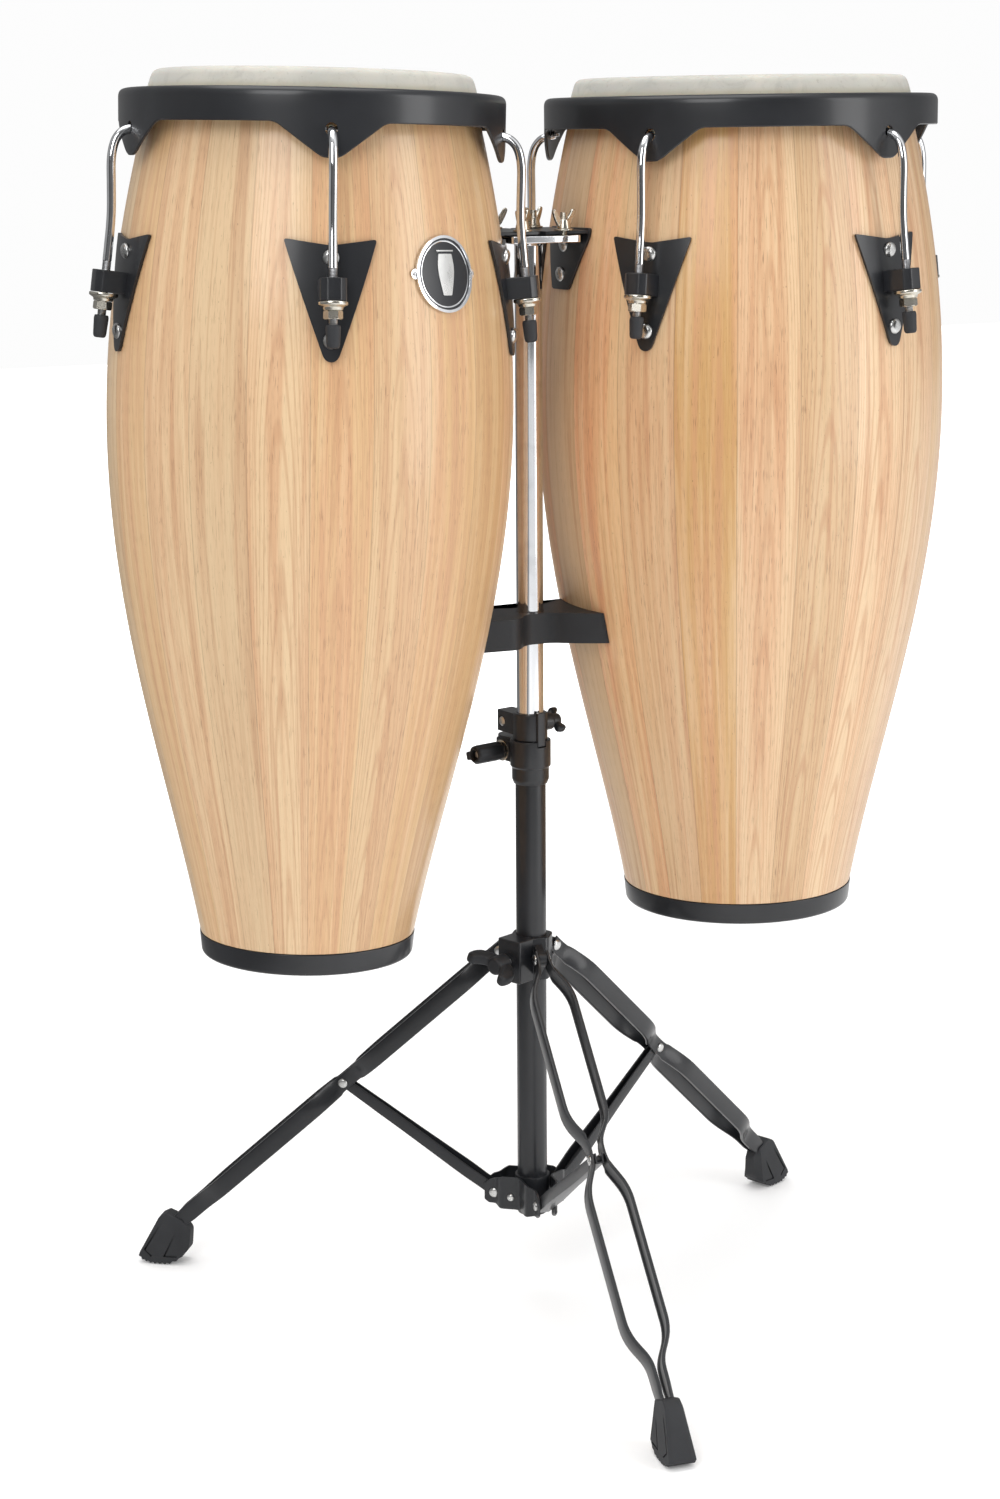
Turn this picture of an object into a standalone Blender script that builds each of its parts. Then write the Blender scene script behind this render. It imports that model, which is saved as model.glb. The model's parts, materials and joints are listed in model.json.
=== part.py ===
"""A pair of conga drums, a 10 inch quinto and an 11 inch conga, on a folding double stand.

Units are metres, +Z is up and the floor is at zero. X runs from the small drum to the large one.
The drums hang from a plate on the chrome upper post, between them. The post telescopes into the
black base tube, which stands on three folding legs.
"""
from math import atan2, cos, hypot, pi, radians, sin

import bmesh
import bpy
import numpy as np
from mathutils import Matrix, Vector

GAP = 0.0004                   # clearance between touching pieces

# ---- the stand ----
POST_X = -0.0128               # place of the post, which puts the box's centre at the origin
POST_Y = 0.0680
TUBE_R = 0.0130                # lower, black tube
TUBE_BORE = 0.0119
TUBE_LOW = 0.0745
TUBE_TOP = 0.4990
POST_R = 0.0114                # upper, chrome tube
POST_BORE = 0.0100
POST_LOW = 0.2200
PLATE_TOP = 0.9260             # the chrome plate that carries both drums
PLATE_THICK = 0.0060
PLATE_HALF_X = 0.0312
PLATE_HALF_Y = 0.0365
STUD_X = 0.0185
STUD_Y = 0.0285
STUD_R = 0.0030
STUD_TOP = 0.9440
FLANGE_THICK = 0.0030

LEG_AZIMUTHS = (22.9, 142.9, 262.9)
HUB_PIVOT = (0.0270, 0.3140)   # radius and height of each pivot
LEG_PIVOT = (0.1700, 0.1836)
SPIDER_PIVOT = (0.0330, 0.0920)
HUB_LUG = 0.0075               # thickness of the lugs that the legs and braces turn on
SPIDER_LUG = 0.0090
STRIP_THICK = 0.0018
PIN_R = 0.0026

SADDLE_LOW = 0.5872
SADDLE_TOP = 0.6130
COLLAR_LOW = 0.4640
COLLAR_TOP = 0.5022
LOCK_LOW = COLLAR_TOP + GAP
LOCK_TOP = 0.5257
EAR_AZIMUTH = 104.5            # the collar's and the lock's ears point this way
EAR_HALF = 0.0090
TEE_HEIGHT = 0.4892            # axis of the T-bolt that clamps the tubes
TEE_REACH = 0.0267             # the T-bolt's distance from the post
LOCK_BOLT_AZIMUTH = 5.0
LOCK_BOLT_HEIGHT = 0.5160
KEY_AZIMUTH = -80.0
HUB_LOW = 0.2920
HUB_TOP = 0.3298
HUB_FACE = 0.0296               # the flat that the hub's wing bolt passes
HUB_BOLT_AZIMUTH = 202.9
HUB_BOLT_HEIGHT = 0.3110

# ---- the drums: heights above each drum's own base ----
DRUM_HEIGHT = 0.7110
RING_HEIGHT = 0.0180
WALL = 0.0105
PROFILE_HEIGHTS = (0.0, 0.100, 0.200, 0.300, 0.435, 0.560, 0.640, 0.690)
SHELL_SIDES = 24
LUG_COUNT = 5
LUG_HEIGHT = 0.5485            # centre of the box that a tuning rod passes
ROD_R = 0.0035
ROD_STANDOFF = 0.0150          # rod outside the rim
ROD_BEND = 0.5980
ROD_TILT = 6.5
HOOK_HEIGHT = 0.6620
EAR_TIP = 0.6440
SKIRT_LOW = 0.6700
RIM_TOP = 0.6955
RIM_LIP = 0.0212               # outer radius of the rim less the radius of its inner lip
PLATE_GAP = 0.0006
PLATE_METAL = 0.0025

DRUMS = (
    {"name": "quinto", "facing": 0.0, "base": (-0.2087, -0.0042, 0.3450), "lean": (2.13, 1.04),
     "lug_turn": 1.9, "rim_radius": 0.1522, "saddle_half": 0.0330,
     "radii": (0.0825, 0.1100, 0.1347, 0.1527, 0.1626, 0.1543, 0.1403, 0.1284)},
    {"name": "conga", "facing": 180.0, "base": (0.2021, -0.0026, 0.3397), "lean": (-0.10, 0.71),
     "lug_turn": -1.2, "rim_radius": 0.1650, "saddle_half": 0.0405,
     "radii": (0.0940, 0.1207, 0.1440, 0.1628, 0.1728, 0.1654, 0.1524, 0.1412)},
)

FINISHES = {                   # colour, roughness, metallic
    "wood": ((0.72, 0.47, 0.25), 0.35, 0.0),
    "skin": ((0.72, 0.69, 0.58), 0.60, 0.0),
    "black_steel": ((0.035, 0.037, 0.041), 0.42, 0.3),
    "chrome": ((0.75, 0.76, 0.78), 0.12, 1.0),
    "zinc": ((0.60, 0.57, 0.50), 0.30, 1.0),
    "black_plastic": ((0.030, 0.031, 0.033), 0.50, 0.0),
}


# ---------------------------------------------------------------- helpers
def clear_scene():
    for item in list(bpy.data.objects):
        bpy.data.objects.remove(item)


def material(finish, node):
    colour, roughness, metallic = FINISHES[finish]
    made = bpy.data.materials.new(node + "_" + finish)
    made.use_nodes = True
    shader = made.node_tree.nodes["Principled BSDF"]
    shader.inputs["Base Color"].default_value = (*colour, 1.0)
    shader.inputs["Roughness"].default_value = roughness
    shader.inputs["Metallic"].default_value = metallic
    return made


def from_bmesh(shape, name):
    bmesh.ops.remove_doubles(shape, verts=shape.verts, dist=1e-6)
    bmesh.ops.recalc_face_normals(shape, faces=shape.faces)
    mesh = bpy.data.meshes.new(name)
    shape.to_mesh(mesh)
    shape.free()
    made = bpy.data.objects.new(name, mesh)
    bpy.context.scene.collection.objects.link(made)
    return made


def from_grid(name, rings, close_rings=True, close_ends=False):
    """A skin over rings of points: each ring closes on itself, and so may the row of rings."""
    shape = bmesh.new()
    loops = [[shape.verts.new(point) for point in ring] for ring in rings]
    count = len(loops[0])
    pairs = len(loops) if close_rings else len(loops) - 1
    for i in range(pairs):
        here, there = loops[i], loops[(i + 1) % len(loops)]
        for j in range(count):
            k = (j + 1) % count
            shape.faces.new((here[j], here[k], there[k], there[j]))
    if close_ends:
        shape.faces.new(loops[0])
        shape.faces.new(list(reversed(loops[-1])))
    return from_bmesh(shape, name)


def lathe(name, profile, sides, ring=True):
    """Turn a profile of (radius, height) about Z; ring joins its last point to its first."""
    shape = bmesh.new()
    points = [shape.verts.new((radius, 0.0, height)) for radius, height in profile]
    edges = [shape.edges.new(pair) for pair in zip(points, points[1:])]
    if ring:
        edges.append(shape.edges.new((points[-1], points[0])))
    bmesh.ops.spin(shape, geom=points + edges, axis=(0, 0, 1), cent=(0, 0, 0),
                   angle=2 * pi, steps=sides, use_merge=True)
    return from_bmesh(shape, name)


def rod(name, radius, low, high, sides=12):
    return lathe(name, [(0.0, low), (radius, low), (radius, high), (0.0, high)], sides, ring=False)


def prism(name, outline, low, high):
    """Extrude an outline in the XY plane from one height to another."""
    shape = bmesh.new()
    face = shape.faces.new([shape.verts.new((x, y, low)) for x, y in outline])
    grown = bmesh.ops.extrude_face_region(shape, geom=[face])
    raised = [item for item in grown["geom"] if isinstance(item, bmesh.types.BMVert)]
    bmesh.ops.translate(shape, verts=raised, vec=(0, 0, high - low))
    return from_bmesh(shape, name)


def box(name, low, high):
    corners = [(low[0], low[1]), (high[0], low[1]), (high[0], high[1]), (low[0], high[1])]
    return prism(name, corners, low[2], high[2])


def arc(centre, radius, start, end, steps):
    """Points of an arc in degrees, both ends included."""
    turn = (end - start) / steps
    angles = [radians(start + turn * i) for i in range(steps + 1)]
    return [(centre[0] + radius * cos(a), centre[1] + radius * sin(a)) for a in angles]


def moved(item, matrix):
    item.data.transform(matrix)
    return item


def along(azimuth, height, reach=0.0):
    """Matrix that lays the Z axis level, pointing away from the post at an azimuth."""
    turn = Matrix.Rotation(radians(azimuth), 4, "Z")
    return turn @ Matrix.Translation((reach, 0, height)) @ Matrix.Rotation(radians(90), 4, "Y")


def across_ears(reach, side, height):
    """Matrix that lays the Z axis level, square to the ears, at a distance along them."""
    turn = Matrix.Rotation(radians(EAR_AZIMUTH), 4, "Z")
    return turn @ Matrix.Translation((reach, side, height)) @ Matrix.Rotation(radians(-90), 4, "X")


def combine(base, tools, operation):
    """Join tools to a piece, or cut them from it, and remove them."""
    for tool in tools:
        modifier = base.modifiers.new(operation.lower(), "BOOLEAN")
        modifier.operation = operation
        modifier.solver = "EXACT"
        modifier.object = tool
    bpy.context.view_layer.update()
    evaluated = base.evaluated_get(bpy.context.evaluated_depsgraph_get())
    result = bpy.data.meshes.new_from_object(evaluated)
    base.modifiers.clear()
    base.data = result
    for tool in tools:
        bpy.data.objects.remove(tool)
    return base


def finish(item, name, surface, parent, matrix=None):
    """Name a piece, give it its material and hang it on its parent."""
    item.name = name
    item.data.name = name
    item.data.materials.clear()
    item.data.materials.append(material(surface, name))
    item.data.shade_smooth()
    item.data.set_sharp_from_angle(angle=radians(32))
    item.parent = parent
    item.matrix_local = matrix or Matrix.Identity(4)
    return item


def empty(name, parent, matrix):
    made = bpy.data.objects.new(name, None)
    bpy.context.scene.collection.objects.link(made)
    made.parent = parent
    made.matrix_local = matrix
    return made


def planar_sweep(name, path, section):
    """Sweep section(i), points of (across, up), along a path in the XY plane."""
    rings = []
    for i, (x, y) in enumerate(path):
        before = path[max(i - 1, 0)]
        after = path[min(i + 1, len(path) - 1)]
        first = Vector((x - before[0], y - before[1]))
        last = Vector((after[0] - x, after[1] - y))
        if first.length == 0:
            first = last
        if last.length == 0:
            last = first
        heading = first.normalized() + last.normalized()
        stretch = 2.0 / heading.length
        heading.normalize()
        across = Vector((-heading.y, heading.x)) * stretch
        rings.append([(x + across.x * a, y + across.y * a, up) for a, up in section(i)])
    return from_grid(name, rings, close_rings=False, close_ends=True)


# ---------------------------------------------------------------- a drum
def shell_radius(drum):
    curve = np.polyfit(PROFILE_HEIGHTS, drum["radii"], 4)
    return lambda height: float(np.polyval(curve, height))


def make_shell(radius_at):
    """Stave shell, rebated for its bottom ring and rounded over at the bearing edge."""
    rebate = radius_at(RING_HEIGHT) - 0.0022
    outer = [(rebate, 0.0024), (rebate, RING_HEIGHT + GAP)]
    heights = (RING_HEIGHT + GAP, 0.08, 0.17, 0.27, 0.37, 0.46, 0.54, 0.62, 0.69)
    outer += [(radius_at(h), h) for h in heights]
    top = radius_at(0.69)
    crown = [(top - 0.0022, 0.7000), (top - 0.0070, 0.7078), (top - WALL - 0.0008, 0.7070)]
    inner = [(radius_at(h) - WALL, h) for h in (0.69, 0.54, 0.37, 0.18)]
    inner += [(radius_at(0.0) - WALL + 0.003, 0.0024)]
    return lathe("shell", outer + crown + inner, SHELL_SIDES)


def make_bottom_ring(radius_at):
    rebate = radius_at(RING_HEIGHT) - 0.0022
    inner = rebate + 0.0004
    outer = rebate + 0.0027
    lip = radius_at(0.0) - WALL + 0.0035
    profile = [(inner, RING_HEIGHT), (outer, RING_HEIGHT), (outer, 0.0030), (outer - 0.0024, 0.0)]
    profile += [(lip, 0.0), (lip, 0.0020), (inner, 0.0020)]
    return lathe("ring", profile, SHELL_SIDES)


def make_head(drum, radius_at):
    """Rawhide over the bearing edge, lapped round its flesh hoop under the rim."""
    lip = drum["rim_radius"] - RIM_LIP - 0.0016
    flat = lip - 0.0076
    top = radius_at(0.69)
    outer = [(0.0, DRUM_HEIGHT), (flat, DRUM_HEIGHT), (flat + 0.0052, 0.7062), (lip, 0.6960)]
    outer += [(lip, 0.6896), (lip + 0.0092, 0.6862), (lip + 0.0110, 0.6790), (lip + 0.0040, 0.6765)]
    inner = [(top + 0.0010, 0.6900), (top - 0.0012, 0.7004), (top - 0.0062, 0.7089), (0.0, 0.7089)]
    return lathe("head", outer + inner, SHELL_SIDES, ring=False)


def make_rim(drum):
    """Pressed steel rim: lip, round shoulder and a skirt that drops into an ear at each rod."""
    outer = drum["rim_radius"]
    metal = 0.0028
    lip = outer - RIM_LIP
    stations = ((-16, 0.0), (-4, 1.0), (4, 1.0), (16, 0.0), (29, 0.0), (43, 0.0))
    rings = []
    for lug in range(LUG_COUNT):
        for offset, drop in stations:
            low = SKIRT_LOW - drop * (SKIRT_LOW - EAR_TIP)
            profile = [(outer, low), (outer, 0.6900), (outer - 0.0040, RIM_TOP)]
            profile += [(lip + 0.0012, RIM_TOP), (lip, 0.6902), (lip + metal, 0.6902)]
            profile += [(outer - 0.0052, RIM_TOP - metal), (outer - metal, 0.6888), (outer - metal, low)]
            turn = radians(lug_azimuth(drum, lug) + offset)
            rings.append([(r * cos(turn), r * sin(turn), z) for r, z in profile])
    rim = from_grid("rim", rings)
    holes = []
    for lug in range(LUG_COUNT):
        hole = rod("hole", 0.0056, -0.012, 0.012, sides=8)
        holes.append(moved(hole, along(lug_azimuth(drum, lug), HOOK_HEIGHT, outer)))
    return combine(rim, holes, "DIFFERENCE")


def lug_azimuth(drum, lug):
    return 36.0 + 72.0 * lug + drum["lug_turn"]


def bent_plate(columns, rows, radius_at):
    """A pressed plate that follows the shell: columns of (distance round, bottom, top)."""
    shape = bmesh.new()
    sheets = []
    for depth in (PLATE_GAP, PLATE_GAP + PLATE_METAL):
        sheet = []
        for distance, low, high in columns:
            column = []
            for row in range(rows + 1):
                height = low + (high - low) * row / rows
                radius = radius_at(height) + depth
                turn = distance / radius_at(LUG_HEIGHT)
                column.append(shape.verts.new((radius * cos(turn), radius * sin(turn), height)))
            sheet.append(column)
        sheets.append(sheet)
    inner, outer = sheets
    last = len(columns) - 1
    for i in range(last):
        for sheet in sheets:
            for j in range(rows):
                near, far = sheet[i], sheet[i + 1]
                shape.faces.new((near[j], far[j], far[j + 1], near[j + 1]))
        for j in (0, rows):
            shape.faces.new((inner[i][j], inner[i + 1][j], outer[i + 1][j], outer[i][j]))
    for i in (0, last):
        for j in range(rows):
            shape.faces.new((inner[i][j], inner[i][j + 1], outer[i][j + 1], outer[i][j]))
    return from_bmesh(shape, "plate")


def rod_frame(drum):
    """Frame at the centre of a lug box, its Z along the lower, tilted part of the rod."""
    out = drum["rim_radius"] + ROD_STANDOFF + (ROD_BEND - LUG_HEIGHT) * np.tan(radians(ROD_TILT))
    return Matrix.Translation((out, 0, LUG_HEIGHT)) @ Matrix.Rotation(radians(-ROD_TILT), 4, "Y")


def make_side_plate(drum, radius_at):
    half, top, notch, tip, tip_half = 0.0360, 0.5852, 0.0048, 0.4945, 0.0045
    columns = []
    for share in (-1.0, -0.93, -0.5, -tip_half / half, tip_half / half, 0.5, 0.93, 1.0):
        across = abs(share)
        rise = max(0.0, across * half - tip_half) / (half - tip_half)
        low = tip + rise * (top - tip - 0.0050)
        high = top - notch * (1.0 - min(1.0, across / 0.93))
        if across == 1.0:
            high = top - 0.0020
        columns.append((share * half, low, high))
    plate = bent_plate(columns, 2, radius_at)
    frame = rod_frame(drum)
    reach = frame.translation.x - radius_at(LUG_HEIGHT) - PLATE_GAP - 0.0012
    block = moved(box("block", (-reach, -0.0100, -0.0085), (0.0095, 0.0100, 0.0085)), frame)
    hole = moved(rod("hole", 0.0042, -0.02, 0.02, sides=8), frame)
    combine(plate, [block], "UNION")
    return combine(plate, [hole], "DIFFERENCE")


def make_tuning_hook(drum):
    """A bent rod with its rubber cap, in the plane through the drum's axis."""
    rim = drum["rim_radius"]
    tilt = radians(ROD_TILT)
    out = rim + ROD_STANDOFF
    stations = [(rim - 0.0065, 0.6645, ROD_R), (rim, 0.6620, ROD_R), (rim + 0.0070, 0.6605, ROD_R)]
    stations += [(rim + 0.0120, 0.6565, ROD_R), (rim + 0.0147, 0.6495, ROD_R), (out, 0.6400, ROD_R)]
    stations += [(out, ROD_BEND, ROD_R)]
    bend = len(stations) - 1
    for down, radius in ((0.0785, ROD_R), (0.0786, 0.0057), (0.0925, 0.0057), (0.0945, 0.0040)):
        stations.append((out + down * sin(tilt), ROD_BEND - down * cos(tilt), radius))
    rings = []
    for i, (x, z, radius) in enumerate(stations):
        before = stations[max(i - 1, 0)]
        after = stations[min(i + 1, len(stations) - 1)]
        if i > bend:
            lean = (sin(tilt), -cos(tilt))
        else:
            length = hypot(after[0] - before[0], after[1] - before[1])
            lean = ((after[0] - before[0]) / length, (after[1] - before[1]) / length)
        ring = []
        for side in range(6):
            turn = 2 * pi * side / 6
            across, level = radius * cos(turn), radius * sin(turn)
            ring.append((x - lean[1] * across, level, z + lean[0] * across))
        rings.append(ring)
    return from_grid("hook", rings, close_rings=False, close_ends=True)


def make_tuning_nut():
    """Hexagonal nut and conical washer, hanging below the origin on the rod."""
    flats, bore = 0.00635, 0.0040
    top = -0.0085 - 0.0003
    levels = [(bore, bore, top), (0.0112, 0.0112, top), (0.0112, 0.0112, top - 0.0026)]
    levels += [(flats / cos(radians(30)), flats, top - 0.0061)]
    levels += [(flats / cos(radians(30)), flats, top - 0.0130), (bore, bore, top - 0.0130)]
    rings = []
    for side in range(12):
        turn = 2 * pi * side / 12
        ring = []
        for corner, flat, height in levels:
            radius = flat if side % 2 else corner
            ring.append((radius * cos(turn), radius * sin(turn), height))
        rings.append(ring)
    return from_grid("nut", rings)


def make_mount_bracket(drum, radius_at, frame):
    """A trapezoid plate on the shell and the flange that lies on the post's plate."""
    flange_low = PLATE_TOP + GAP
    middle = flange_low + FLANGE_THICK / 2
    local = (frame.inverted() @ Vector((0, 0, middle))).z
    top = local + 0.0035
    bottom = local - 0.0475
    half, foot = 0.0368, 0.0145
    columns = []
    for share in (-1.0, -0.7, -foot / half, 0.0, foot / half, 0.7, 1.0):
        rise = max(0.0, abs(share) * half - foot) / (half - foot)
        columns.append((share * half, bottom + rise * (top - bottom - 0.0060), top))
    plate = moved(bent_plate(columns, 3, radius_at), frame)
    radius = radius_at(local) + PLATE_GAP + 0.0010
    edge = []
    for share in (-1.0, -0.5, 0.0, 0.5, 1.0):
        turn = share * half * 0.99 / radius_at(LUG_HEIGHT)
        point = frame @ Vector((radius * cos(turn), radius * sin(turn), local))
        edge.append((point.x, point.y))
    side = -1.0 if drum["facing"] == 0.0 else 1.0
    end = side * 0.0012
    front, back = edge[0][1], edge[-1][1]
    shoulder = 0.0040 if back > front else -0.0040
    outline = edge + [(end + side * 0.004, back), (end, back - shoulder)]
    outline += [(end, front + shoulder), (end + side * 0.004, front)]
    flange = prism("flange", outline, flange_low, flange_low + FLANGE_THICK)
    combine(plate, [flange], "UNION")
    holes = []
    for sign in (-1, 1):
        hole = rod("hole", STUD_R + 0.0006, PLATE_TOP - 0.002, PLATE_TOP + 0.010, sides=10)
        holes.append(moved(hole, Matrix.Translation((side * STUD_X, sign * STUD_Y, 0))))
    return combine(plate, holes, "DIFFERENCE")


def drum_frame(drum):
    lean_x, lean_y = drum["lean"]
    axis = Vector((sin(radians(lean_x)), sin(radians(lean_y)), 1.0)).normalized()
    tilt = Vector((0, 0, 1)).rotation_difference(axis).to_matrix().to_4x4()
    facing = Matrix.Rotation(radians(drum["facing"]), 4, "Z")
    return Matrix.Translation(drum["base"]) @ tilt @ facing


def build_drum(drum, stand):
    name = drum["name"]
    radius_at = shell_radius(drum)
    matrix = drum_frame(drum)
    frame = empty(name + "_frame", stand, matrix)
    finish(make_shell(radius_at), name + "_shell", "wood", frame)
    finish(make_bottom_ring(radius_at), name + "_bottom_ring", "black_steel", frame)
    finish(make_head(drum, radius_at), name + "_head", "skin", frame)
    finish(make_rim(drum), name + "_rim", "black_steel", frame)
    bracket = make_mount_bracket(drum, radius_at, matrix)
    finish(bracket, name + "_mount_bracket", "black_steel", stand)
    plate = make_side_plate(drum, radius_at)
    hook = make_tuning_hook(drum)
    nut = make_tuning_nut()
    for lug in range(LUG_COUNT):
        turn = Matrix.Rotation(radians(lug_azimuth(drum, lug)), 4, "Z")
        number = "_%d" % (lug + 1)
        for source, piece, surface, place in (
            (plate, "_side_plate", "black_steel", turn),
            (hook, "_tuning_hook", "chrome", turn),
            (nut, "_tuning_nut", "zinc", turn @ rod_frame(drum)),
        ):
            copy = source.copy()
            copy.data = source.data.copy()
            bpy.context.scene.collection.objects.link(copy)
            finish(copy, name + piece + number, surface, frame, place)
    for source in (plate, hook, nut):
        bpy.data.objects.remove(source)


# ---------------------------------------------------------------- the upper half of the stand
def make_upper_post():
    low = PLATE_TOP - PLATE_THICK
    tube = lathe("post", [(POST_R, POST_LOW), (POST_R, low + 0.001), (POST_BORE, low + 0.001),
                          (POST_BORE, POST_LOW)], 16)
    corner = 0.003
    outline = []
    for sign_x, sign_y, start in ((1, 1, 0), (-1, 1, 90), (-1, -1, 180), (1, -1, 270)):
        centre = (sign_x * (PLATE_HALF_X - corner), sign_y * (PLATE_HALF_Y - corner))
        outline += arc(centre, corner, start, start + 90, 2)
    tools = [prism("plate", outline, low, PLATE_TOP)]
    for sign_x in (-1, 1):
        for sign_y in (-1, 1):
            stud = rod("stud", STUD_R, PLATE_TOP - 0.003, STUD_TOP, sides=8)
            tools.append(moved(stud, Matrix.Translation((sign_x * STUD_X, sign_y * STUD_Y, 0))))
    return combine(tube, tools, "UNION")


def make_wing_nut():
    """Wing nut with its washer, standing on the origin, the wings along X."""
    bore = STUD_R + 0.0005
    body = lathe("wing_nut", [(bore, 0.0), (0.0075, 0.0), (0.0075, 0.0014), (0.0052, 0.0016),
                              (0.0040, 0.0085), (bore, 0.0085)], 8)
    outline = [(0.0036, 0.0020), (0.0050, 0.0020), (0.0088, 0.0095), (0.0090, 0.0140)]
    outline += [(0.0072, 0.0150), (0.0055, 0.0135), (0.0037, 0.0080)]
    lay = Matrix.Rotation(radians(90), 4, "X")
    wing = moved(prism("wing", outline, -0.0011, 0.0011), lay)
    other = moved(wing.copy(), Matrix.Identity(4))
    other.data = wing.data.copy()
    bpy.context.scene.collection.objects.link(other)
    moved(other, Matrix.Rotation(pi, 4, "Z"))
    return combine(body, [wing, other], "UNION")


def make_saddle(frames):
    """A bow-tie block whose two hollows take the shells below the plate."""
    rings = []
    for height in (SADDLE_LOW, SADDLE_TOP):
        sides = []
        for drum in DRUMS:
            frame = frames[drum["name"]]
            local = (frame.inverted() @ Vector((0, 0, height))).z
            centre = frame @ Vector((0, 0, local))
            radius = shell_radius(drum)(local) + 0.0008
            spread = np.degrees(np.arcsin(drum["saddle_half"] / radius))
            if drum["facing"] == 0.0:
                sides.append(arc(centre, radius, spread, -spread, 6))
            else:
                sides.append(arc(centre, radius, 180 + spread, 180 - spread, 6))
        left, right = sides
        lower = [(-0.034, -0.0285), (-0.018, -0.0185), (0.0, -0.0168)]
        lower += [(0.018, -0.0190), (0.034, -0.0330)]
        upper = [(x, -y) for x, y in reversed(lower)]
        outline = left + lower + right + upper
        rings.append([(x, y, height) for x, y in outline])
    block = from_grid("saddle", rings, close_rings=False, close_ends=True)
    bore = rod("bore", POST_R + GAP, SADDLE_LOW - 0.01, SADDLE_TOP + 0.01, sides=16)
    return combine(block, [bore], "DIFFERENCE")


def make_memory_lock():
    ring = rod("lock", 0.0147, LOCK_LOW, LOCK_TOP, sides=16)
    block = box("block", (0.0040, -0.0060, LOCK_LOW + 0.0036), (0.0320, 0.0105, LOCK_TOP - 0.0010))
    moved(block, Matrix.Rotation(radians(EAR_AZIMUTH), 4, "Z"))
    bolt_line = along(LOCK_BOLT_AZIMUTH, LOCK_BOLT_HEIGHT)
    boss = moved(rod("boss", 0.0075, 0.010, 0.0200, sides=12), bolt_line)
    key = box("key", (0.0139, -0.0040, COLLAR_TOP - 0.0042), (0.0169, 0.0040, LOCK_TOP + 0.0016))
    lift = box("lift", (0.0125, -0.0040, LOCK_LOW + 0.0005), (0.0150, 0.0040, LOCK_TOP + 0.0016))
    for piece in (key, lift):
        moved(piece, Matrix.Rotation(radians(KEY_AZIMUTH), 4, "Z"))
    combine(ring, [block, boss, key, lift], "UNION")
    bore = rod("bore", POST_R + GAP, LOCK_LOW - 0.002, LOCK_TOP + 0.01, sides=16)
    bolt = moved(rod("bolt", 0.0034, 0.005, 0.030, sides=8), bolt_line)
    return combine(ring, [bore, bolt], "DIFFERENCE")


def make_wing_bolt(shank, reach, neck, hub, wing, lobe):
    """A bolt along Z: its hub stands beyond the origin by the neck, its wings lie along X."""
    hub_r, hub_long = hub
    span, thick = wing
    low, high = lobe
    end = neck + hub_long
    profile = [(0.0, -shank), (reach, -shank), (reach, neck), (hub_r, neck), (hub_r, end - 0.0016)]
    profile += [(hub_r * 0.8, end), (0.0, end)]
    body = lathe("bolt", profile, 10, ring=False)
    half = [(hub_r * 0.6, neck + 0.0010), (span * 0.9, low), (span, low + 0.0020)]
    half += [(span * 0.96, high - 0.0010), (span * 0.7, high), (hub_r * 0.6, end - 0.0010)]
    outline = half + [(-across, height) for across, height in reversed(half)]
    lay = Matrix.Rotation(radians(90), 4, "X")
    wings = moved(prism("wings", outline, -thick / 2, thick / 2), lay)
    return combine(body, [wings], "UNION")


def build_upper(stand, frames):
    finish(make_upper_post(), "upper_post", "chrome", stand)
    finish(make_saddle(frames), "saddle", "black_plastic", stand)
    finish(make_memory_lock(), "memory_lock", "black_steel", stand)
    bolt = make_wing_bolt(0.0070, 0.0030, 0.0, (0.0056, 0.0080), (0.0118, 0.0062), (0.0012, 0.0094))
    place = along(LOCK_BOLT_AZIMUTH, LOCK_BOLT_HEIGHT, 0.0204) @ Matrix.Rotation(radians(-48), 4, "Z")
    finish(bolt, "memory_wing_bolt", "black_steel", stand, place)
    nut = make_wing_nut()
    seat = PLATE_TOP + GAP + FLANGE_THICK + 0.0003
    number = 1
    for sign_x, sign_y, turn in ((-1, -1, 40), (1, -1, 15), (1, 1, 30), (-1, 1, -20)):
        copy = nut.copy()
        copy.data = nut.data.copy()
        bpy.context.scene.collection.objects.link(copy)
        spin = Matrix.Rotation(radians(turn), 4, "Z")
        place = Matrix.Translation((sign_x * STUD_X, sign_y * STUD_Y, seat)) @ spin
        finish(copy, "wing_nut_%d" % number, "zinc", stand, place)
        number += 1
    bpy.data.objects.remove(nut)


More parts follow.
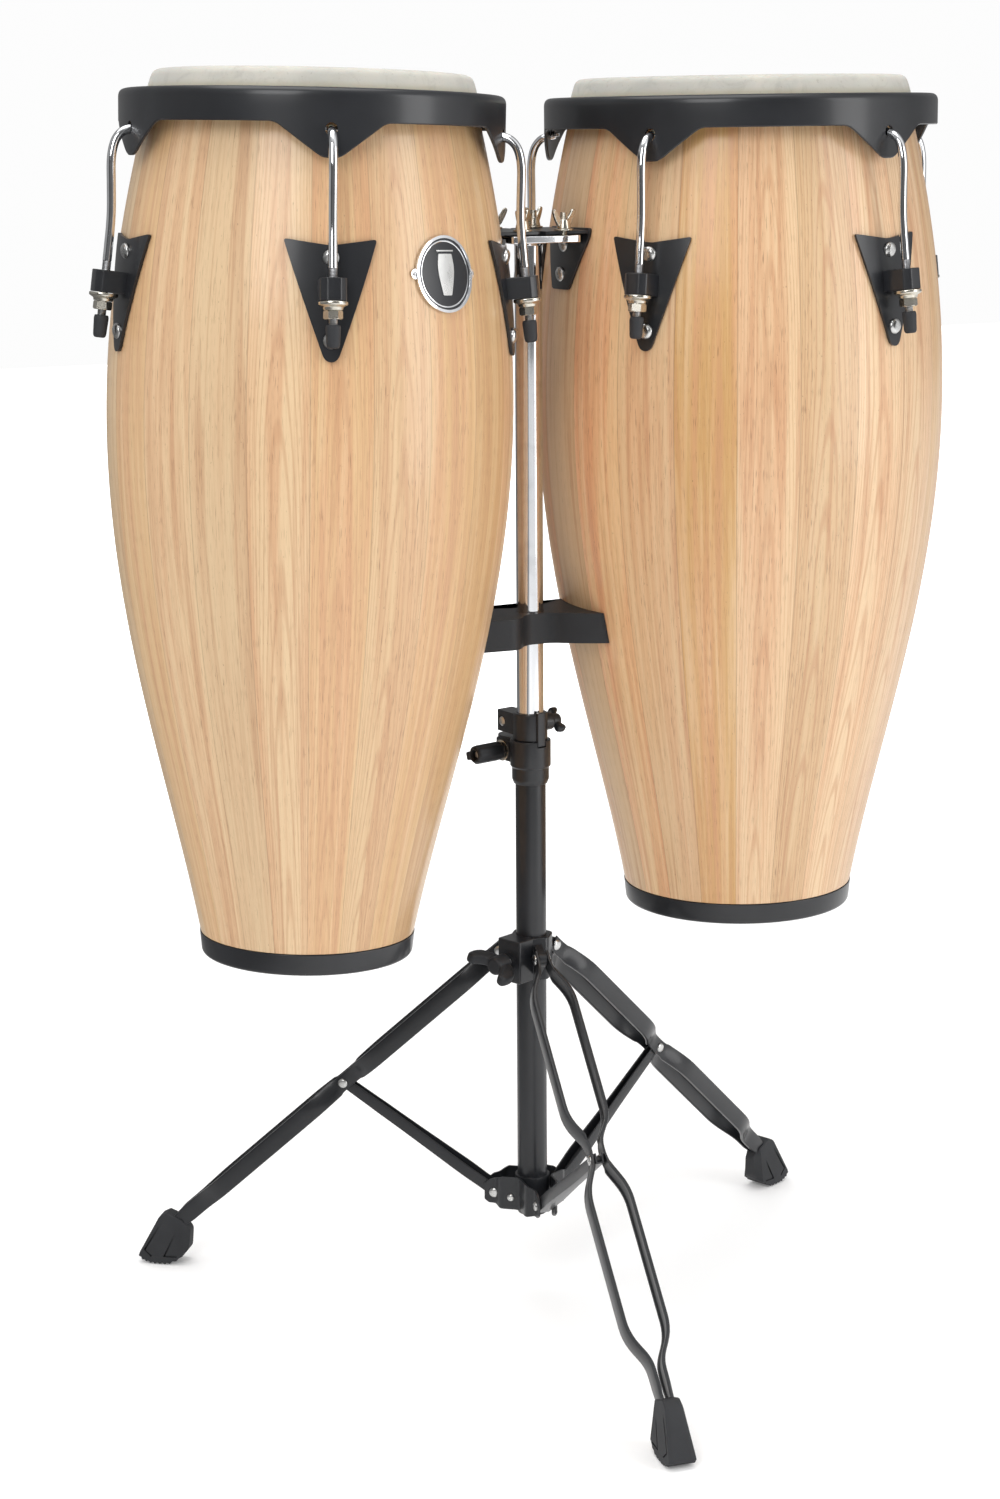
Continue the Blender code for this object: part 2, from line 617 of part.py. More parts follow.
# ---------------------------------------------------------------- the lower half of the stand
def make_clamp_collar():
    profile = [(0.0142, COLLAR_LOW), (0.0159, COLLAR_LOW + 0.004), (0.0159, 0.4780), (0.0174, 0.4795)]
    profile += [(0.0174, COLLAR_TOP), (0.0, COLLAR_TOP), (0.0, COLLAR_LOW)]
    body = lathe("collar", profile, 16)
    tip = TEE_REACH + 0.0070
    outline = [(0.0060, -EAR_HALF), (tip, -EAR_HALF)] + arc((tip, 0.0), EAR_HALF, -60, 60, 3)
    outline += [(tip, EAR_HALF), (0.0060, EAR_HALF)]
    ears = prism("ears", outline, 0.4800, COLLAR_TOP - 0.0004)
    moved(ears, Matrix.Rotation(radians(EAR_AZIMUTH), 4, "Z"))
    combine(body, [ears], "UNION")
    bore = rod("bore", TUBE_R + GAP, COLLAR_LOW - 0.01, COLLAR_TOP + 0.01, sides=16)
    bolt = moved(rod("bolt", 0.0036, -0.030, 0.020, sides=8), across_ears(TEE_REACH, 0, TEE_HEIGHT))
    slit = box("slit", (0.0050, -0.0012, COLLAR_LOW - 0.01), (0.0500, 0.0012, COLLAR_TOP + 0.01))
    moved(slit, Matrix.Rotation(radians(EAR_AZIMUTH), 4, "Z"))
    slot = box("slot", (0.0120, -0.0046, COLLAR_TOP - 0.0048), (0.0200, 0.0046, COLLAR_TOP + 0.01))
    moved(slot, Matrix.Rotation(radians(KEY_AZIMUTH), 4, "Z"))
    return combine(body, [bore, bolt, slit, slot], "DIFFERENCE")


def make_tee_bolt():
    """Six-sided grip on a shank, with a short bar across its outer end."""
    body = rod("tee", 0.0031, -2 * EAR_HALF, 0.0020, sides=8)
    profile = [(0.0, 0.0), (0.0070, 0.0), (0.0083, 0.0030), (0.0083, 0.0295), (0.0070, 0.0310)]
    profile += [(0.0045, 0.0310), (0.0040, 0.0280), (0.0, 0.0280)]
    grip = lathe("grip", profile, 6, ring=False)
    bar = box("bar", (-0.0020, -0.0042, 0.0215), (0.0165, 0.0042, 0.0270))
    moved(bar, Matrix.Rotation(radians(-75), 4, "Z"))
    return combine(body, [grip, bar], "UNION")


def make_foot_spider():
    ring = rod("spider", 0.0178, 0.0810, 0.1100, sides=16)
    tools = []
    radius, height = SPIDER_PIVOT
    for azimuth in LEG_AZIMUTHS:
        half = SPIDER_LUG / 2
        end = arc((radius, height), 0.0070, -90, 60, 4)
        outline = [(0.0140, 0.0830)] + end + [(0.0140, 0.1060)]
        lug = moved(prism("lug", outline, -half, half), Matrix.Rotation(radians(90), 4, "X"))
        tools.append(moved(lug, Matrix.Rotation(radians(azimuth), 4, "Z")))
    combine(ring, tools, "UNION")
    cuts = [rod("bore", TUBE_R + GAP, 0.07, 0.12, sides=16)]
    cuts += [pivot_hole(azimuth, SPIDER_PIVOT) for azimuth in LEG_AZIMUTHS]
    return combine(ring, cuts, "DIFFERENCE")


def pivot_hole(azimuth, pivot):
    hole = rod("hole", PIN_R + 0.0006, -0.012, 0.012, sides=10)
    moved(hole, Matrix.Rotation(radians(90), 4, "X"))
    moved(hole, Matrix.Translation((pivot[0], 0, pivot[1])))
    return moved(hole, Matrix.Rotation(radians(azimuth), 4, "Z"))


def make_leg_hub():
    ring = rod("hub", 0.0172, HUB_LOW, HUB_TOP, sides=18)
    tools = []
    radius, height = HUB_PIVOT
    for azimuth in LEG_AZIMUTHS:
        half = HUB_LUG / 2
        end = arc((radius, height), 0.0066, -80, 90, 4)
        outline = [(0.0140, 0.2940)] + end + [(0.0140, 0.3250)]
        lug = moved(prism("lug", outline, -half, half), Matrix.Rotation(radians(90), 4, "X"))
        tools.append(moved(lug, Matrix.Rotation(radians(azimuth), 4, "Z")))
    block = box("block", (0.0, -0.0125, HUB_LOW + 0.0005), (HUB_FACE, 0.0125, HUB_TOP - 0.0005))
    tools.append(moved(block, Matrix.Rotation(radians(HUB_BOLT_AZIMUTH), 4, "Z")))
    combine(ring, tools, "UNION")
    cuts = [rod("bore", TUBE_R + GAP, 0.28, 0.34, sides=16)]
    cuts += [pivot_hole(azimuth, HUB_PIVOT) for azimuth in LEG_AZIMUTHS]
    bolt = rod("bolt", 0.0040, 0.005, 0.040, sides=8)
    cuts.append(moved(bolt, along(HUB_BOLT_AZIMUTH, HUB_BOLT_HEIGHT)))
    return combine(ring, cuts, "DIFFERENCE")


def leg_slope():
    drop = HUB_PIVOT[1] - LEG_PIVOT[1]
    return atan2(drop, LEG_PIVOT[0] - HUB_PIVOT[0])


def make_strip(side):
    """One pressed channel of a leg, pinched in at the hub, at the brace and at the foot."""
    pinched, bowed, flange = HUB_LUG / 2 + GAP + STRIP_THICK / 2, 0.0185, 0.0016
    stations = [(-0.0045, pinched, 0.0004, 0.0065), (0.0100, pinched, 0.0004, 0.0070)]
    stations += [(0.0360, bowed, flange, 0.0078), (0.1570, bowed, flange, 0.0078)]
    stations += [(0.1780, pinched + 0.0006, 0.0010, 0.0074), (0.1980, pinched + 0.0006, 0.0010, 0.0074)]
    stations += [(0.2240, bowed, flange, 0.0078), (0.3500, bowed, flange, 0.0078)]
    stations += [(0.3740, 0.0050, flange, 0.0072), (0.4200, 0.0048, flange, 0.0060)]

    def section(i):
        _, _, flange, half = stations[i]
        out = STRIP_THICK / 2
        tip = -out - flange
        inside = half - STRIP_THICK
        shape = [(out, -half), (out, half), (tip, half), (tip, inside), (-out, inside)]
        shape += [(-out, -inside), (tip, -inside), (tip, -half)]
        return [(side * across, up) for across, up in shape]

    path = [(x, side * y) for x, y, _, _ in stations]
    return planar_sweep("strip", path, section)


def make_boot(to_leg):
    """A rubber wedge with a flat sole, wider at the floor."""
    outline = [(0.3370, 0.0520), (0.3437, 0.0480), (0.3660, 0.0100), (0.3622, 0.0025), (0.3530, 0.0)]
    outline += [(0.3370, 0.0), (0.3262, 0.0050), (0.3186, 0.0140), (0.3164, 0.0330), (0.3226, 0.0410)]
    rings = []
    for side in (-1, 1):
        rings.append([(x, side * (0.0102 - 0.060 * z), z) for x, z in outline])
    boot = from_grid("boot", rings, close_rings=False, close_ends=True)
    return moved(boot, to_leg)


def leg_frame(azimuth):
    turn = Matrix.Rotation(radians(azimuth), 4, "Z")
    lean = Matrix.Rotation(leg_slope(), 4, "Y")
    return turn @ Matrix.Translation((HUB_PIVOT[0], 0, HUB_PIVOT[1])) @ lean


def make_leg():
    upright = leg_frame(0)
    leg = make_strip(1)
    pin = moved(rod("pin", PIN_R, -0.0072, 0.0072, sides=8), Matrix.Rotation(radians(90), 4, "X"))
    return combine(leg, [make_strip(-1), make_boot(upright.inverted()), pin], "UNION")


def brace_frame(azimuth):
    turn = Matrix.Rotation(radians(azimuth), 4, "Z")
    rise = LEG_PIVOT[1] - SPIDER_PIVOT[1]
    slope = atan2(rise, LEG_PIVOT[0] - SPIDER_PIVOT[0])
    lean = Matrix.Rotation(-slope, 4, "Y")
    return turn @ Matrix.Translation((SPIDER_PIVOT[0], 0, SPIDER_PIVOT[1])) @ lean


def make_brace():
    """A channel, open upward, that narrows to pass between the leg's strips."""
    long = hypot(LEG_PIVOT[0] - SPIDER_PIVOT[0], LEG_PIVOT[1] - SPIDER_PIVOT[1])
    metal = 0.0015
    wide = SPIDER_LUG / 2 + GAP + metal
    stations = [(-0.0045, wide, 0.0032, 0.0046), (0.0120, wide, 0.0050, 0.0050)]
    stations += [(0.0300, 0.0072, 0.0052, 0.0052), (0.1000, 0.0040, 0.0052, 0.0052)]
    stations += [(long + 0.0050, 0.0036, 0.0045, 0.0045)]
    rings = []
    for x, half, low, high in stations:
        floor = -low + metal
        inside = half - metal
        across = [(-half, high), (-half, -low), (half, -low), (half, high)]
        across += [(inside, high), (inside, floor), (-inside, floor), (-inside, high)]
        rings.append([(x, y, z) for y, z in across])
    brace = from_grid("brace", rings, close_rings=False, close_ends=True)
    notch = box("notch", (-0.012, -SPIDER_LUG / 2 - GAP, -0.02), (0.0105, SPIDER_LUG / 2 + GAP, 0.02))
    combine(brace, [notch], "DIFFERENCE")
    pin = moved(rod("pin", PIN_R, -0.0072, 0.0072, sides=8), Matrix.Rotation(radians(90), 4, "X"))
    return combine(brace, [pin], "UNION")


def build_lower(stand):
    tube = lathe("tube", [(TUBE_R, TUBE_LOW), (TUBE_R, TUBE_TOP), (TUBE_BORE, TUBE_TOP),
                          (TUBE_BORE, TUBE_LOW)], 16)
    finish(tube, "base_tube", "black_steel", stand)
    finish(make_clamp_collar(), "clamp_collar", "black_steel", stand)
    tee_place = across_ears(TEE_REACH, EAR_HALF + GAP, TEE_HEIGHT)
    finish(make_tee_bolt(), "clamp_t_bolt", "black_plastic", stand, tee_place)
    finish(make_foot_spider(), "foot_spider", "black_steel", stand)
    finish(make_leg_hub(), "leg_hub", "black_steel", stand)
    bolt = make_wing_bolt(0.0120, 0.0034, 0.0045, (0.0080, 0.0150), (0.0230, 0.0085), (0.0150, 0.0305))
    place = along(HUB_BOLT_AZIMUTH, HUB_BOLT_HEIGHT, HUB_FACE + GAP) @ Matrix.Rotation(radians(69), 4, "Z")
    finish(bolt, "hub_wing_bolt", "black_plastic", stand, place)
    leg = make_leg()
    brace = make_brace()
    for number, azimuth in enumerate(LEG_AZIMUTHS, 1):
        places = ((leg, "leg_%d", leg_frame(azimuth)), (brace, "brace_%d", brace_frame(azimuth)))
        for source, piece, place in places:
            copy = source.copy()
            copy.data = source.data.copy()
            bpy.context.scene.collection.objects.link(copy)
            finish(copy, piece % number, "black_steel", stand, place)
    bpy.data.objects.remove(leg)
    bpy.data.objects.remove(brace)


def main():
    clear_scene()
    stand = empty("stand", None, Matrix.Translation((POST_X, POST_Y, 0)))
    frames = {drum["name"]: drum_frame(drum) for drum in DRUMS}
    for drum in DRUMS:
        build_drum(drum, stand)
    build_upper(stand, frames)
    build_lower(stand)


main()
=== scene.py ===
"""Looks of the two conga drums and their folding stand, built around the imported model."""
import json
from math import asin, atan2, ceil, cos, hypot, pi, radians, sin, tan

import bmesh
import bpy
import numpy as np
from mathutils import Matrix, Vector


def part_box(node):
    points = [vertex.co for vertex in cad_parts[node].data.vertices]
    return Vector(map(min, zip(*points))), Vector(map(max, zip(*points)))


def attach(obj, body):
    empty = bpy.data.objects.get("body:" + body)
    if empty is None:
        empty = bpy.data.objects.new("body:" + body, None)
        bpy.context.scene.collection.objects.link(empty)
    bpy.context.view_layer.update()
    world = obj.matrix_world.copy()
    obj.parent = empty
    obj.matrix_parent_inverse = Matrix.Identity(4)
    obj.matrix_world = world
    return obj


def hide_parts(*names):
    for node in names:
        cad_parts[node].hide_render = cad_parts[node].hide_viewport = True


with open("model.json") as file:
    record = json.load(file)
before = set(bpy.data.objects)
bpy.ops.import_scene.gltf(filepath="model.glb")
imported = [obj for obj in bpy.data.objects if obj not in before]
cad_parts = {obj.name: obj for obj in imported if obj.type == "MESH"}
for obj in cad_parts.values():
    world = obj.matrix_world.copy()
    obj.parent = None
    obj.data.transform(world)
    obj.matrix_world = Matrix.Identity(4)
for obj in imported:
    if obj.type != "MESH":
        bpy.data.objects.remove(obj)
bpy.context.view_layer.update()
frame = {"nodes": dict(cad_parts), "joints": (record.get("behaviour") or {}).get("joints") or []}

JOINTS = {joint["name"]: joint for joint in frame["joints"]}

# ---- sizes that the design fixes, in metres; heights on a drum are above its own base ----
DRUM_HEIGHT = 0.7110
RING_HEIGHT = 0.0180
WALL = 0.0105
REBATE = 0.0022                           # how deep the bottom ring is let into the shell
CROWN = 0.6900                            # where a shell's side ends and its crown begins
STAVES = 21
STAVE_R = 0.1550                          # radius at which the grain is laid out
LUG_HEIGHT = 0.5485
LUG_COUNT = 5
HOOK_HEIGHT = 0.6640
EAR_TIP = 0.6440
SKIRT_LOW = 0.6700
RIM_TOP = 0.6955
RIM_LIP = 0.0212
RIM_METAL = 0.0028
ROD_R = 0.0035
ROD_STANDOFF = 0.0150
ROD_BEND = 0.5980
ROD_TILT = radians(6.5)
PLATE_GAP = 0.0006
PLATE_METAL = 0.0025
PLATE_FACE = PLATE_GAP + PLATE_METAL      # from the shell's side to a plate's outer face

PLATE_TOP = 0.9260
PLATE_THICK = 0.0060
PLATE_HALF_X = 0.0312
PLATE_HALF_Y = 0.0365
STUD_X = 0.0185
STUD_Y = 0.0285
STUD_R = 0.0030
STUD_TOP = 0.9440
FLANGE_THICK = 0.0030

TUBE_R = 0.0130
TUBE_BORE = 0.0119
POST_R = 0.0114
POST_BORE = 0.0100
SADDLE_LOW = 0.5872
SADDLE_TOP = 0.6130
SADDLE_HALVES = (0.0330, 0.0405)          # half the width of its hold on the quinto and on the conga
COLLAR_LOW = 0.4640
COLLAR_TOP = 0.5022
LOCK_LOW = 0.5026
LOCK_TOP = 0.5257
EAR_HALF = 0.0090
TEE_REACH = 0.0267
KEY_AZIMUTH = radians(-80)
HUB_LOW = 0.2920
HUB_TOP = 0.3298
HUB_FLAT = 0.0170                         # from the post's axis to each of the hub's six flats
HUB_FACE = 0.0296                         # from the post's axis to the flat that its wing bolt passes
SPIDER_LOW = 0.0810
SPIDER_TOP = 0.1100
LEG_PIVOT = Vector((0.1700, 0.1836))      # radius and height, where a brace meets its leg
HUB_LUG = 0.0075
CHEEK_IN = 0.0067                         # from a leg's mid plane to the inside of a cheek
CHEEK_THICK = 0.0018
WRAP_IN = 0.0134                          # from a leg's mid plane to the sheet that passes the tube
STRIP_THICK = 0.0018
LUG_PLAY = 0.0004                         # between a hub lug and each strip beside it
PLAY = 0.0002                             # of a ring on its tube, post or stud
RIVET_R = 0.0047
SCALLOP_LONG = 0.0046
SCALLOP_DEEP = 0.0013
WELD = 1e-6


def joint_point(name):
    return Vector(JOINTS[name]["pos_m"])


def joint_axis(name):
    return Vector(JOINTS[name]["axis"]).normalized()


def middle(node):
    low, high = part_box(node)
    return (low + high) / 2


POST = Vector((middle("base_tube").x, middle("base_tube").y, 0.0))
STAND = Matrix.Translation(POST)
LEGS = (1, 2, 3)


def polar(name):
    """Azimuth, radius and height of a joint, about the post."""
    place = joint_point(name) - POST
    return atan2(place.y, place.x), hypot(place.x, place.y), place.z


# ================================================================ mesh tools
def turn_x(angle):
    return Matrix.Rotation(angle, 4, "X")


def turn_y(angle):
    return Matrix.Rotation(angle, 4, "Y")


def turn_z(angle):
    return Matrix.Rotation(angle, 4, "Z")


def shift(x, y, z):
    return Matrix.Translation((x, y, z))


def full_turn(count):
    """Angles that share a whole turn evenly."""
    return [2 * pi * k / count for k in range(count)]


def clamped(value):
    """Hold a share between nothing and the whole."""
    return min(1.0, max(0.0, value))


def about(radius, turn, height):
    """The point at a radius and an azimuth about Z."""
    return (radius * cos(turn), radius * sin(turn), height)


def new_object(name, data):
    made = bpy.data.objects.new(name, data)
    bpy.context.scene.collection.objects.link(made)
    return made


def mesh_of(item):
    """Keep an object's mesh, to be shared by several objects, and drop the object."""
    mesh = item.data
    bpy.data.objects.remove(item)
    return mesh


def as_object(shape, name):
    mesh = bpy.data.meshes.new(name)
    shape.to_mesh(mesh)
    shape.free()
    return new_object(name, mesh)


def from_bmesh(shape, name):
    bmesh.ops.remove_doubles(shape, verts=shape.verts, dist=WELD)
    bmesh.ops.recalc_face_normals(shape, faces=shape.faces)
    return as_object(shape, name)


def from_rings(name, rings, closed=True):
    """A skin over rings of points: the row of rings closes on itself, or its two ends are capped."""
    shape = bmesh.new()
    loops = [[shape.verts.new(point) for point in ring] for ring in rings]
    count = len(loops[0])
    pairs = list(zip(loops, loops[1:]))
    if closed:
        pairs.append((loops[-1], loops[0]))
    for here, there in pairs:
        for j in range(count):
            k = (j + 1) % count
            shape.faces.new((here[j], here[k], there[k], there[j]))
    if not closed:
        shape.faces.new(loops[0])
        shape.faces.new(list(reversed(loops[-1])))
    return from_bmesh(shape, name)


def pole_skin(name, outlines):
    """A skin over outlines set round Z, each of which starts and ends on the axis."""
    shape = bmesh.new()
    loops = [[shape.verts.new(point) for point in outline] for outline in outlines]
    last = len(loops[0]) - 2
    for here, there in zip(loops, loops[1:] + loops[:1]):
        for j in range(last + 1):
            corners = [here[j], here[j + 1], there[j + 1], there[j]]
            if j == 0:
                corners.pop(3)
            elif j == last:
                corners.pop(2)
            shape.faces.new(corners)
    return from_bmesh(shape, name)


def lathe(name, profile, sides):
    """Turn a profile of (radius, height) about Z; it closes on itself or on the axis."""
    shape = bmesh.new()
    points = [shape.verts.new((radius, 0.0, height)) for radius, height in profile]
    edges = [shape.edges.new(pair) for pair in zip(points, points[1:])]
    if profile[0][0] > 0 or profile[-1][0] > 0:
        edges.append(shape.edges.new((points[-1], points[0])))
    bmesh.ops.spin(shape, geom=points + edges, axis=(0, 0, 1), cent=(0, 0, 0),
                   angle=2 * pi, steps=sides, use_merge=True)
    return from_bmesh(shape, name)


def rounded(points, steps=4, closed=True):
    """Turn each corner (x, y, radius) of an outline into a curve of about that radius."""
    out = []
    count = len(points)
    for i, (x, y, radius) in enumerate(points):
        if radius == 0 or (not closed and i in (0, count - 1)):
            out.append((x, y))
            continue
        here = Vector((x, y))
        before = Vector(points[i - 1][:2]) - here
        after = Vector(points[(i + 1) % count][:2]) - here
        start = here + before.normalized() * min(radius, before.length * 0.48)
        end = here + after.normalized() * min(radius, after.length * 0.48)
        for k in range(steps + 1):
            t = k / steps
            point = start * (1 - t) ** 2 + here * (2 * t * (1 - t)) + end * t ** 2
            out.append((point.x, point.y))
    return out


def arc(centre, radius, start, end, steps):
    turns = [start + (end - start) * i / steps for i in range(steps + 1)]
    return [(centre[0] + radius * cos(t), centre[1] + radius * sin(t)) for t in turns]


def densified(path, step):
    """An open path in a plane, with its points no more than a step apart."""
    dense = []
    for (x0, y0), (x1, y1) in zip(path, path[1:]):
        pieces = max(1, ceil(hypot(x1 - x0, y1 - y0) / step))
        dense += [(x0 + (x1 - x0) * k / pieces, y0 + (y1 - y0) * k / pieces) for k in range(pieces)]
    return dense + [path[-1]]


def across_at(points, i):
    """Unit vector square to an open path in a plane, at one of its points."""
    before, after = points[max(i - 1, 0)], points[min(i + 1, len(points) - 1)]
    heading = Vector((after[0] - before[0], after[1] - before[1])).normalized()
    return Vector((-heading.y, heading.x))


def thickened(shape, depth):
    """Extrude the flat faces of a bmesh upwards."""
    grown = bmesh.ops.extrude_face_region(shape, geom=shape.faces[:])
    raised = [item for item in grown["geom"] if isinstance(item, bmesh.types.BMVert)]
    bmesh.ops.translate(shape, verts=raised, vec=(0, 0, depth))


def slab(name, outline, low, high):
    """Extrude an outline in the XY plane from one height to another."""
    shape = bmesh.new()
    shape.faces.new([shape.verts.new((x, y, low)) for x, y in outline])
    thickened(shape, high - low)
    return from_bmesh(shape, name)


def block(name, low, high):
    corners = [(low[0], low[1]), (high[0], low[1]), (high[0], high[1]), (low[0], high[1])]
    return slab(name, corners, low[2], high[2])


def plug(radius, low, high, sides=64):
    """A plain cylinder about Z, to cut a bore with."""
    return lathe("plug", [(0.0, low), (radius, low), (radius, high), (0.0, high)], sides)


def plain_ring(name, bore, radius, low, high, soft, steps, sides):
    """A ring about Z: square inside, with its lower and its upper outer edge rounded."""
    section = [(bore, low, 0), (radius, low, soft[0]), (radius, high, soft[1]), (bore, high, 0)]
    return lathe(name, rounded(section, steps), sides)


def moved(item, matrix):
    item.data.transform(matrix)
    return item


def bevel(item, width, segments=2, angle=35):
    modifier = item.modifiers.new("bevel", "BEVEL")
    modifier.width = width
    modifier.segments = segments
    modifier.limit_method = "ANGLE"
    modifier.angle_limit = radians(angle)
    modifier.harden_normals = True
    return item


def applied(item):
    """Bake the modifiers into the mesh."""
    bpy.context.view_layer.update()
    evaluated = item.evaluated_get(bpy.context.evaluated_depsgraph_get())
    item.data = bpy.data.meshes.new_from_object(evaluated)
    item.modifiers.clear()
    return item


def cut(item, tools):
    for tool in tools:
        modifier = item.modifiers.new("cut", "BOOLEAN")
        modifier.operation = "DIFFERENCE"
        modifier.solver = "EXACT"
        modifier.object = tool
    applied(item)
    for tool in tools:
        bpy.data.objects.remove(tool)
    return item


def joined(name, items):
    """Gather closed bodies into one object."""
    shape = bmesh.new()
    for item in items:
        applied(item)
        shape.from_mesh(item.data)
        bpy.data.objects.remove(item)
    return as_object(shape, name)


def tube(name, path, radius, sides=20):
    """A round bar along a smooth path."""
    heading = (path[1] - path[0]).normalized()
    side = heading.orthogonal().normalized()
    rings = []
    for i, point in enumerate(path):
        turned = (path[min(i + 1, len(path) - 1)] - path[max(i - 1, 0)]).normalized()
        side = (side - turned * side.dot(turned)).normalized()
        up = turned.cross(side)
        rings.append([point + (side * cos(t) + up * sin(t)) * radius for t in full_turn(sides)])
    return from_rings(name, rings, closed=False)


def smooth_path(points, steps):
    """Points along a Catmull-Rom curve through the given points."""
    knots = [Vector(point) for point in points]
    knots = [knots[0] * 2 - knots[1]] + knots + [knots[-1] * 2 - knots[-2]]
    out = []
    for a, b, c, d in zip(knots, knots[1:], knots[2:], knots[3:]):
        for k in range(steps):
            t = k / steps
            out.append(0.5 * ((2 * b) + (c - a) * t + (2 * a - 5 * b + 4 * c - d) * t * t
                              + (3 * b - a - 3 * c + d) * t ** 3))
    out.append(knots[-2])
    return out


def show(item, body, finish, matrix, replaces=None, angle=32):
    """Put a piece in place, give it its material and let it ride on a body."""
    item.data.materials.clear()
    item.data.materials.append(MATERIALS[finish])
    item.data.shade_smooth()
    item.data.set_sharp_from_angle(angle=radians(angle))
    item.matrix_world = matrix
    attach(item, body)
    if replaces:
        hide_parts(replaces)


def graph(name, **constants):
    """A material whose shader sockets hold the given constants."""
    made = bpy.data.materials.new(name)
    made.use_nodes = True
    shader = made.node_tree.nodes["Principled BSDF"]
    for socket, value in constants.items():
        shader.inputs[socket.replace("_", " ")].default_value = value
    return made, made.node_tree, shader


def node(tree, kind, inputs=(), **settings):
    made = tree.nodes.new(kind)
    for key, value in settings.items():
        setattr(made, key, value)
    for socket, value in dict(inputs).items():
        if isinstance(value, bpy.types.NodeSocket):
            tree.links.new(value, made.inputs[socket])
        else:
            made.inputs[socket].default_value = value
    return made


def calc(tree, operation, first, second=0.0, third=0.0):
    made = node(tree, "ShaderNodeMath", {0: first, 1: second, 2: third}, operation=operation)
    return made.outputs[0]


def plus(tree, first, second):
    return calc(tree, "ADD", first, second)


def times(tree, first, second):
    return calc(tree, "MULTIPLY", first, second)


def combined(tree, x, y, z):
    return node(tree, "ShaderNodeCombineXYZ", {0: x, 1: y, 2: z}).outputs[0]


def noise(tree, vector, scale, detail=2.0, rough=0.5, distort=0.0):
    inputs = {"Vector": vector, "Scale": scale, "Detail": detail, "Roughness": rough,
              "Distortion": distort}
    return node(tree, "ShaderNodeTexNoise", inputs).outputs["Fac"]


def span(tree, value, low, high, out_low=0.0, out_high=1.0):
    """Map a value from one range to another, held at the ends."""
    made = node(tree, "ShaderNodeMapRange", {"Value": value, "From Min": low, "From Max": high,
                                             "To Min": out_low, "To Max": out_high})
    return made.outputs["Result"]


def mixed(tree, share, first, second, blend="MIX"):
    made = tree.nodes.new("ShaderNodeMix")
    made.data_type = "RGBA"
    made.blend_type = blend
    for index, value in ((0, share), (6, first), (7, second)):
        if isinstance(value, bpy.types.NodeSocket):
            tree.links.new(value, made.inputs[index])
        else:
            made.inputs[index].default_value = value if index == 0 else (*value, 1.0)
    return made.outputs[2]


def bump(tree, shader, height, strength, distance):
    made = node(tree, "ShaderNodeBump", {"Height": height, "Strength": strength, "Distance": distance})
    tree.links.new(made.outputs[0], shader.inputs["Normal"])


def object_point(tree):
    return node(tree, "ShaderNodeTexCoord").outputs["Object"]


def axes_of(tree, vector):
    return node(tree, "ShaderNodeSeparateXYZ", {0: vector}).outputs


def grey(tree, value):
    return node(tree, "ShaderNodeCombineColor", {0: value, 1: value, 2: value}).outputs[0]


def stretched(tree, point, scale):
    return node(tree, "ShaderNodeMapping", {"Vector": point, "Scale": scale}).outputs[0]


def shaded(colour, share):
    return tuple(channel * share for channel in colour)


